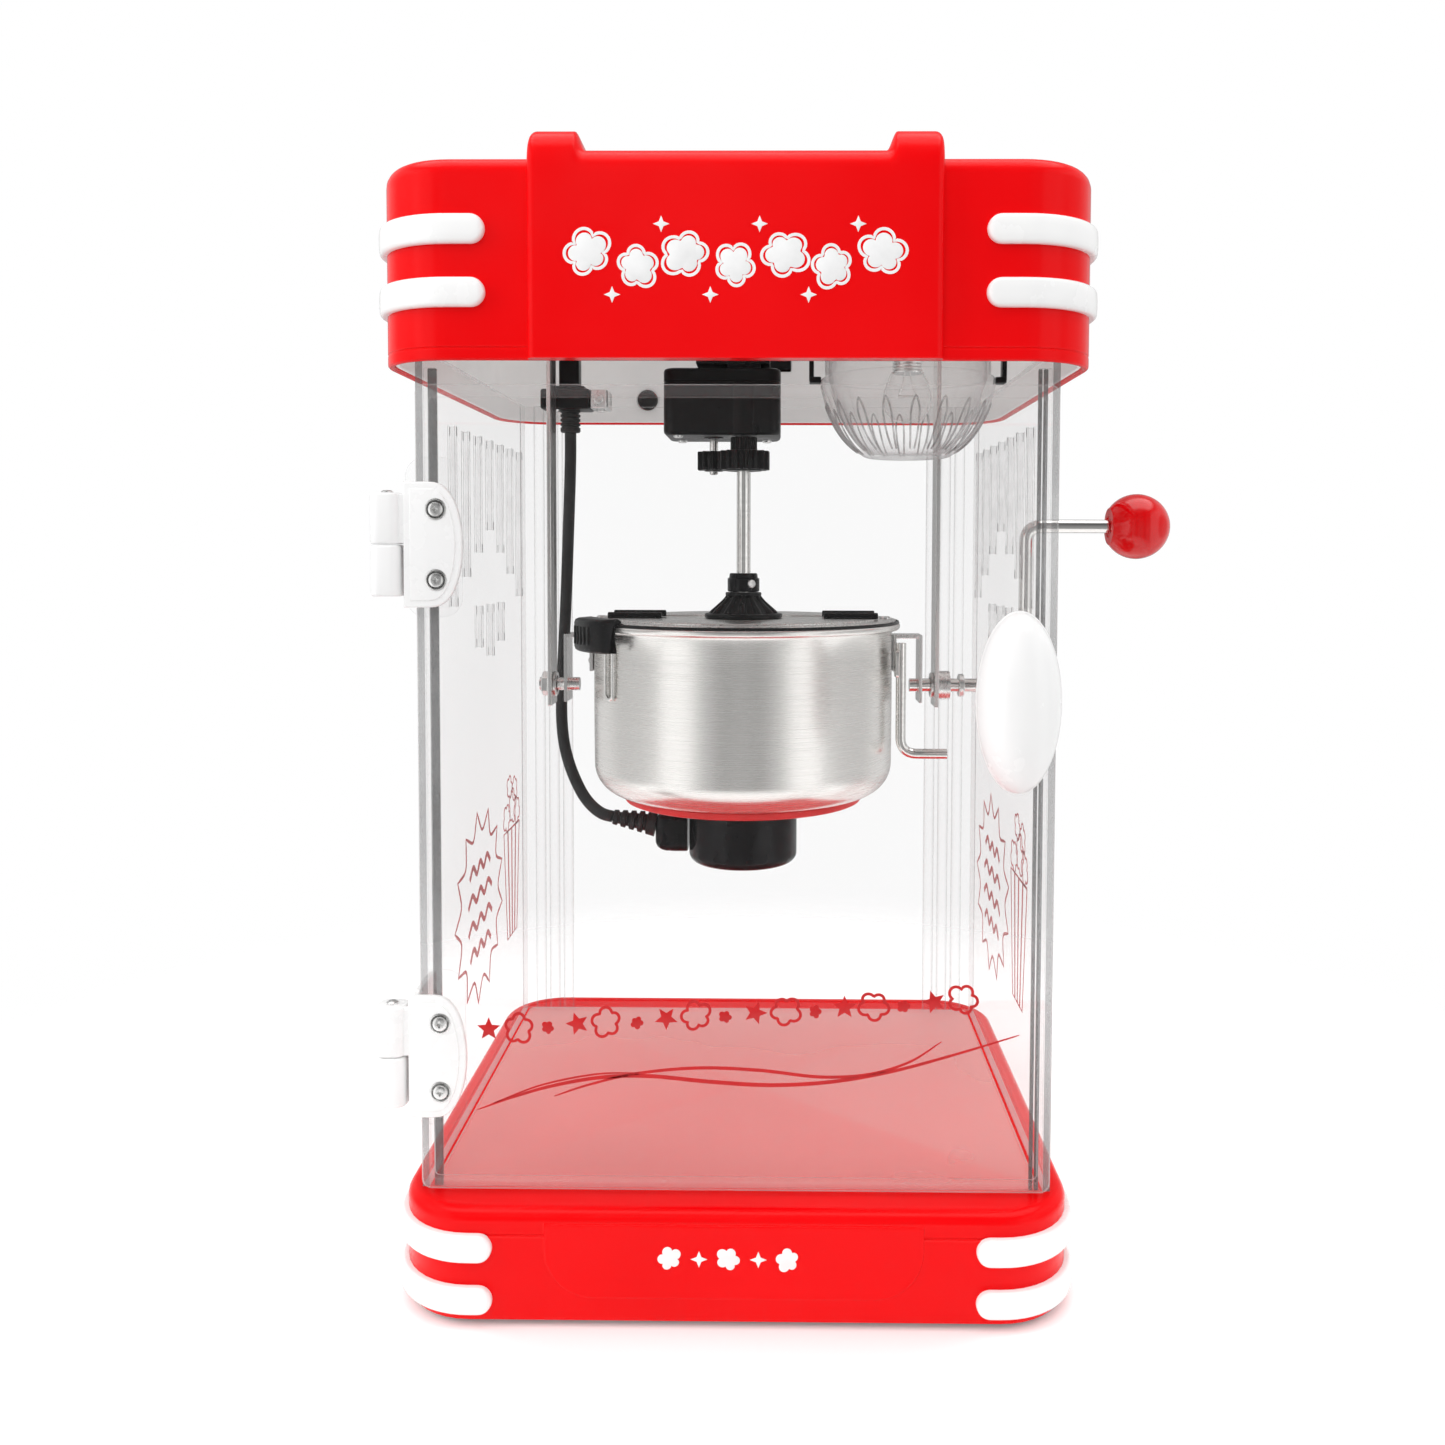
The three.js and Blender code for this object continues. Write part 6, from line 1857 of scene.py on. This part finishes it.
def addSwitches():
    back = corners("head_shell")[1].y
    mesh = bmesh.new()
    for node in ("heat_switch", "drive_switch"):
        low, high = corners(node)
        middle = (low + high) / 2
        halfX, halfZ = (high.x - low.x) / 2 + 0.0004, (high.z - low.z) / 2 + 0.0004
        f = switchSet["frame"]
        outer = roundPlan(halfZ + f, halfX + f, 0.0016, 4, (middle.z, middle.x))
        inner = roundPlan(halfZ, halfX, 0.0006, 4, (middle.z, middle.x))
        rings = []
        for outline, y in ((inner, back - 0.002), (outer, back - 0.0002), (outer, back + 0.0005),
                           (inset(outer, 0.0004), back + switchSet["proud"]),
                           (inner, back + switchSet["proud"])):
            rings.append([Vector((p[1], y, p[0])) for p in outline])
        loft(mesh, rings, wrap=True)
        # A dark well behind the rocker.
        block(mesh, (middle.x - halfX, back - 0.0010, middle.z - halfZ),
              (middle.x + halfX, back + 0.0002, middle.z + halfZ), 0.0004, 0.0001, "Y")
    addPiece("switchFrames", mesh, "cabinet", [blackLook], ())
    for node in ("heat_switch", "drive_switch"):
        fromNode(node, [glossBlackLook], node.split("_")[0] + "Rocker", node, 0.0006, None)
    low, high = corners("mains_gland")
    middle = (low + high) / 2
    r = (high.x - low.x) / 2
    outer, bore = switchSet["glandRadius"], switchSet["glandBore"]
    profile = [(bore, low.y), (outer, low.y), (outer, back + 0.0003), (r - 0.0003, back + 0.0003),
               (r, back + 0.0007),
               (r, high.y - 0.0005), (r - 0.0006, high.y), (bore + 0.0016, high.y), (bore, high.y - 0.0012)]
    mesh = bmesh.new()
    place = Matrix(((1, 0, 0, middle.x), (0, 0, 1, 0), (0, -1, 0, middle.z), (0, 0, 0, 1)))
    turned(mesh, profile, place, 48, wrap=True)
    # A rubber blank closes each end of the bore.
    for y in (low.y + 0.001, high.y - 0.0032):
        turned(mesh, [(0.0001, y), (bore + 0.0003, y), (bore + 0.0003, y + 0.0012), (0.0001, y + 0.0012)],
               place, 32)
    addPiece("mainsGland", mesh, "cabinet", [rubberLook], ("mains_gland",))


addSwitches()
print("lamp and switches ready")

# Stage and light.

lightSet = {
    "sky": 0.76,
    "lamps": (
        ("topSoftbox", (0, -0.3, 1.5), (0, 0, 0.2), 1.6, 9),
        ("leftSoftbox", (-1.5, -0.45, 0.9), (0, 0, 0.25), 1.1, 12),
        ("rightSoftbox", (1.5, 0.1, 0.8), (0, 0, 0.2), 1.1, 8),
        ("backSoftbox", (0.2, 1.6, 1.0), (0, 0, 0.15), 1.3, 7),
        ("frontSoftbox", (-0.4, -1.7, 1.3), (0, 0, 0.42), 1.0, 7),
    ),
}


stageSet = {"size": 0.9, "steps": 24, "drop": 0.0004, "fadeFrom": 0.28, "fadeTo": 0.55}


def addStage():
    size, steps = stageSet["size"], stageSet["steps"]
    mesh = bmesh.new()
    across = [-size + 2 * size * i / steps for i in range(steps + 1)]
    rows = [[mesh.verts.new((x, y, -stageSet["drop"])) for x in across] for y in across]
    for a, b in zip(rows, rows[1:]):
        for i in range(steps):
            mesh.faces.new((a[i], a[i + 1], b[i + 1], b[i]))
    look = makeLook("paleFloor", {
        "dark": (0.93, 0.93, 0.93), "light": (0.96, 0.96, 0.96),
        "mottle": {"scale": 1.5, "detail": 2},
        "rough": {"low": 0.55, "high": 0.7, "scale": 3},
        "grain": {"scale": 40, "strength": 0.02, "depth": 0.0004},
        "shader": {"Specular IOR Level": 0.1, "Emission Color": (1, 1, 1, 1), "Emission Strength": 0.12},
    })
    # The floor fades out away from the machine.
    tree = look.node_tree
    place = addNode(tree, "TexCoord", {})
    reach = addNode(tree, "VectorMath", {0: place.outputs["Object"]})
    reach.operation = "LENGTH"
    fade = addNode(tree, "MapRange", {"From Min": stageSet["fadeFrom"], "From Max": stageSet["fadeTo"],
                                      "Value": reach.outputs["Value"]})
    fade.interpolation_type = "SMOOTHSTEP"
    away = addNode(tree, "BsdfTransparent", {})
    blend = addNode(tree, "MixShader", {0: fade.outputs["Result"],
                                        1: tree.nodes["Principled BSDF"].outputs["BSDF"],
                                        2: away.outputs["BSDF"]})
    tree.links.new(blend.outputs["Shader"], tree.nodes["Material Output"].inputs["Surface"])
    floor = addPiece("paleFloor", mesh, None, [look])


addStage()


def addLights():
    for name, place, target, size, power in lightSet["lamps"]:
        data = bpy.data.lights.new(name, "AREA")
        data.shape = "SQUARE"
        data.size = size
        data.energy = power
        lamp = bpy.data.objects.new(name, data)
        direction = Vector(target) - Vector(place)
        turn = direction.to_track_quat("-Z", "Y").to_matrix().to_4x4()
        lamp.matrix_world = Matrix.Translation(place) @ turn
        scene.collection.objects.link(lamp)
        lamp.visible_camera = False
        lamp.visible_glossy = False
    world = bpy.data.worlds.new("studio")
    scene.world = world
    world.use_nodes = True
    tree = world.node_tree
    tree.nodes.clear()
    output = addNode(tree, "OutputWorld", {})
    plain = addNode(tree, "Background", {"Strength": lightSet["sky"]})
    seen = addNode(tree, "Background", {"Color": (1, 1, 1, 1)})
    glossy = addNode(tree, "Background", {})
    path = addNode(tree, "LightPath", {})
    first = addNode(tree, "MixShader", {0: path.outputs["Is Glossy Ray"], 1: plain.outputs[0],
                                        2: glossy.outputs[0]})
    second = addNode(tree, "MixShader", {0: path.outputs["Is Camera Ray"], 1: first.outputs[0],
                                         2: seen.outputs[0]})
    tree.links.new(second.outputs[0], output.inputs["Surface"])
    # Reflections see soft strips at the four diagonals and a softbox above, with dark between.
    place = addNode(tree, "TexCoord", {})
    split = addNode(tree, "SeparateXYZ", {0: place.outputs["Generated"]})

    def calc(kind, *values):
        node = addNode(tree, "Math", dict(enumerate(values)))
        node.operation = kind
        return node.outputs[0]

    def ramp(value, low, high, start, end):
        node = addNode(tree, "MapRange", {"From Min": low, "From Max": high, "To Min": start, "To Max": end,
                                          "Value": value})
        node.interpolation_type = "SMOOTHSTEP"
        return node.outputs[0]

    x, y, z = split.outputs
    sideways = calc("ABSOLUTE", x)
    strips = calc("MULTIPLY", ramp(sideways, 0.50, 0.62, 0, 1), ramp(sideways, 0.86, 0.95, 1, 0.12))
    strips = calc("MULTIPLY", strips, ramp(z, 0.55, 0.8, 1, 0))
    strips = calc("MULTIPLY", strips, ramp(y, -0.1, 0.45, 1, 0.3))
    above = calc("MULTIPLY", ramp(z, 0.72, 0.84, 0, 3.0), ramp(calc("ABSOLUTE", y), 0.30, 0.55, 1, 0.1))
    behind = calc("MULTIPLY", ramp(y, 0.0, 0.5, 0, 0.75), ramp(z, 0.02, 0.4, 0.25, 1))
    # The room in front is dim, with a few soft grey bands side by side.
    middle = ramp(sideways, 0.10, 0.20, 0.62, 0.40)
    between = ramp(sideways, 0.26, 0.40, 0.0, 0.34)
    room = calc("MULTIPLY", calc("ADD", middle, between), ramp(z, -0.3, 0.75, 0.95, 0.35))
    total = calc("ADD", calc("ADD", strips, above), calc("ADD", calc("MULTIPLY", behind, 0.3), room))
    tree.links.new(total, glossy.inputs["Strength"])
    scene.view_settings.view_transform = "Standard"
    scene.view_settings.look = "None"
    scene.cycles.transparent_max_bounces = 40


addLights()
print("stage and light ready")
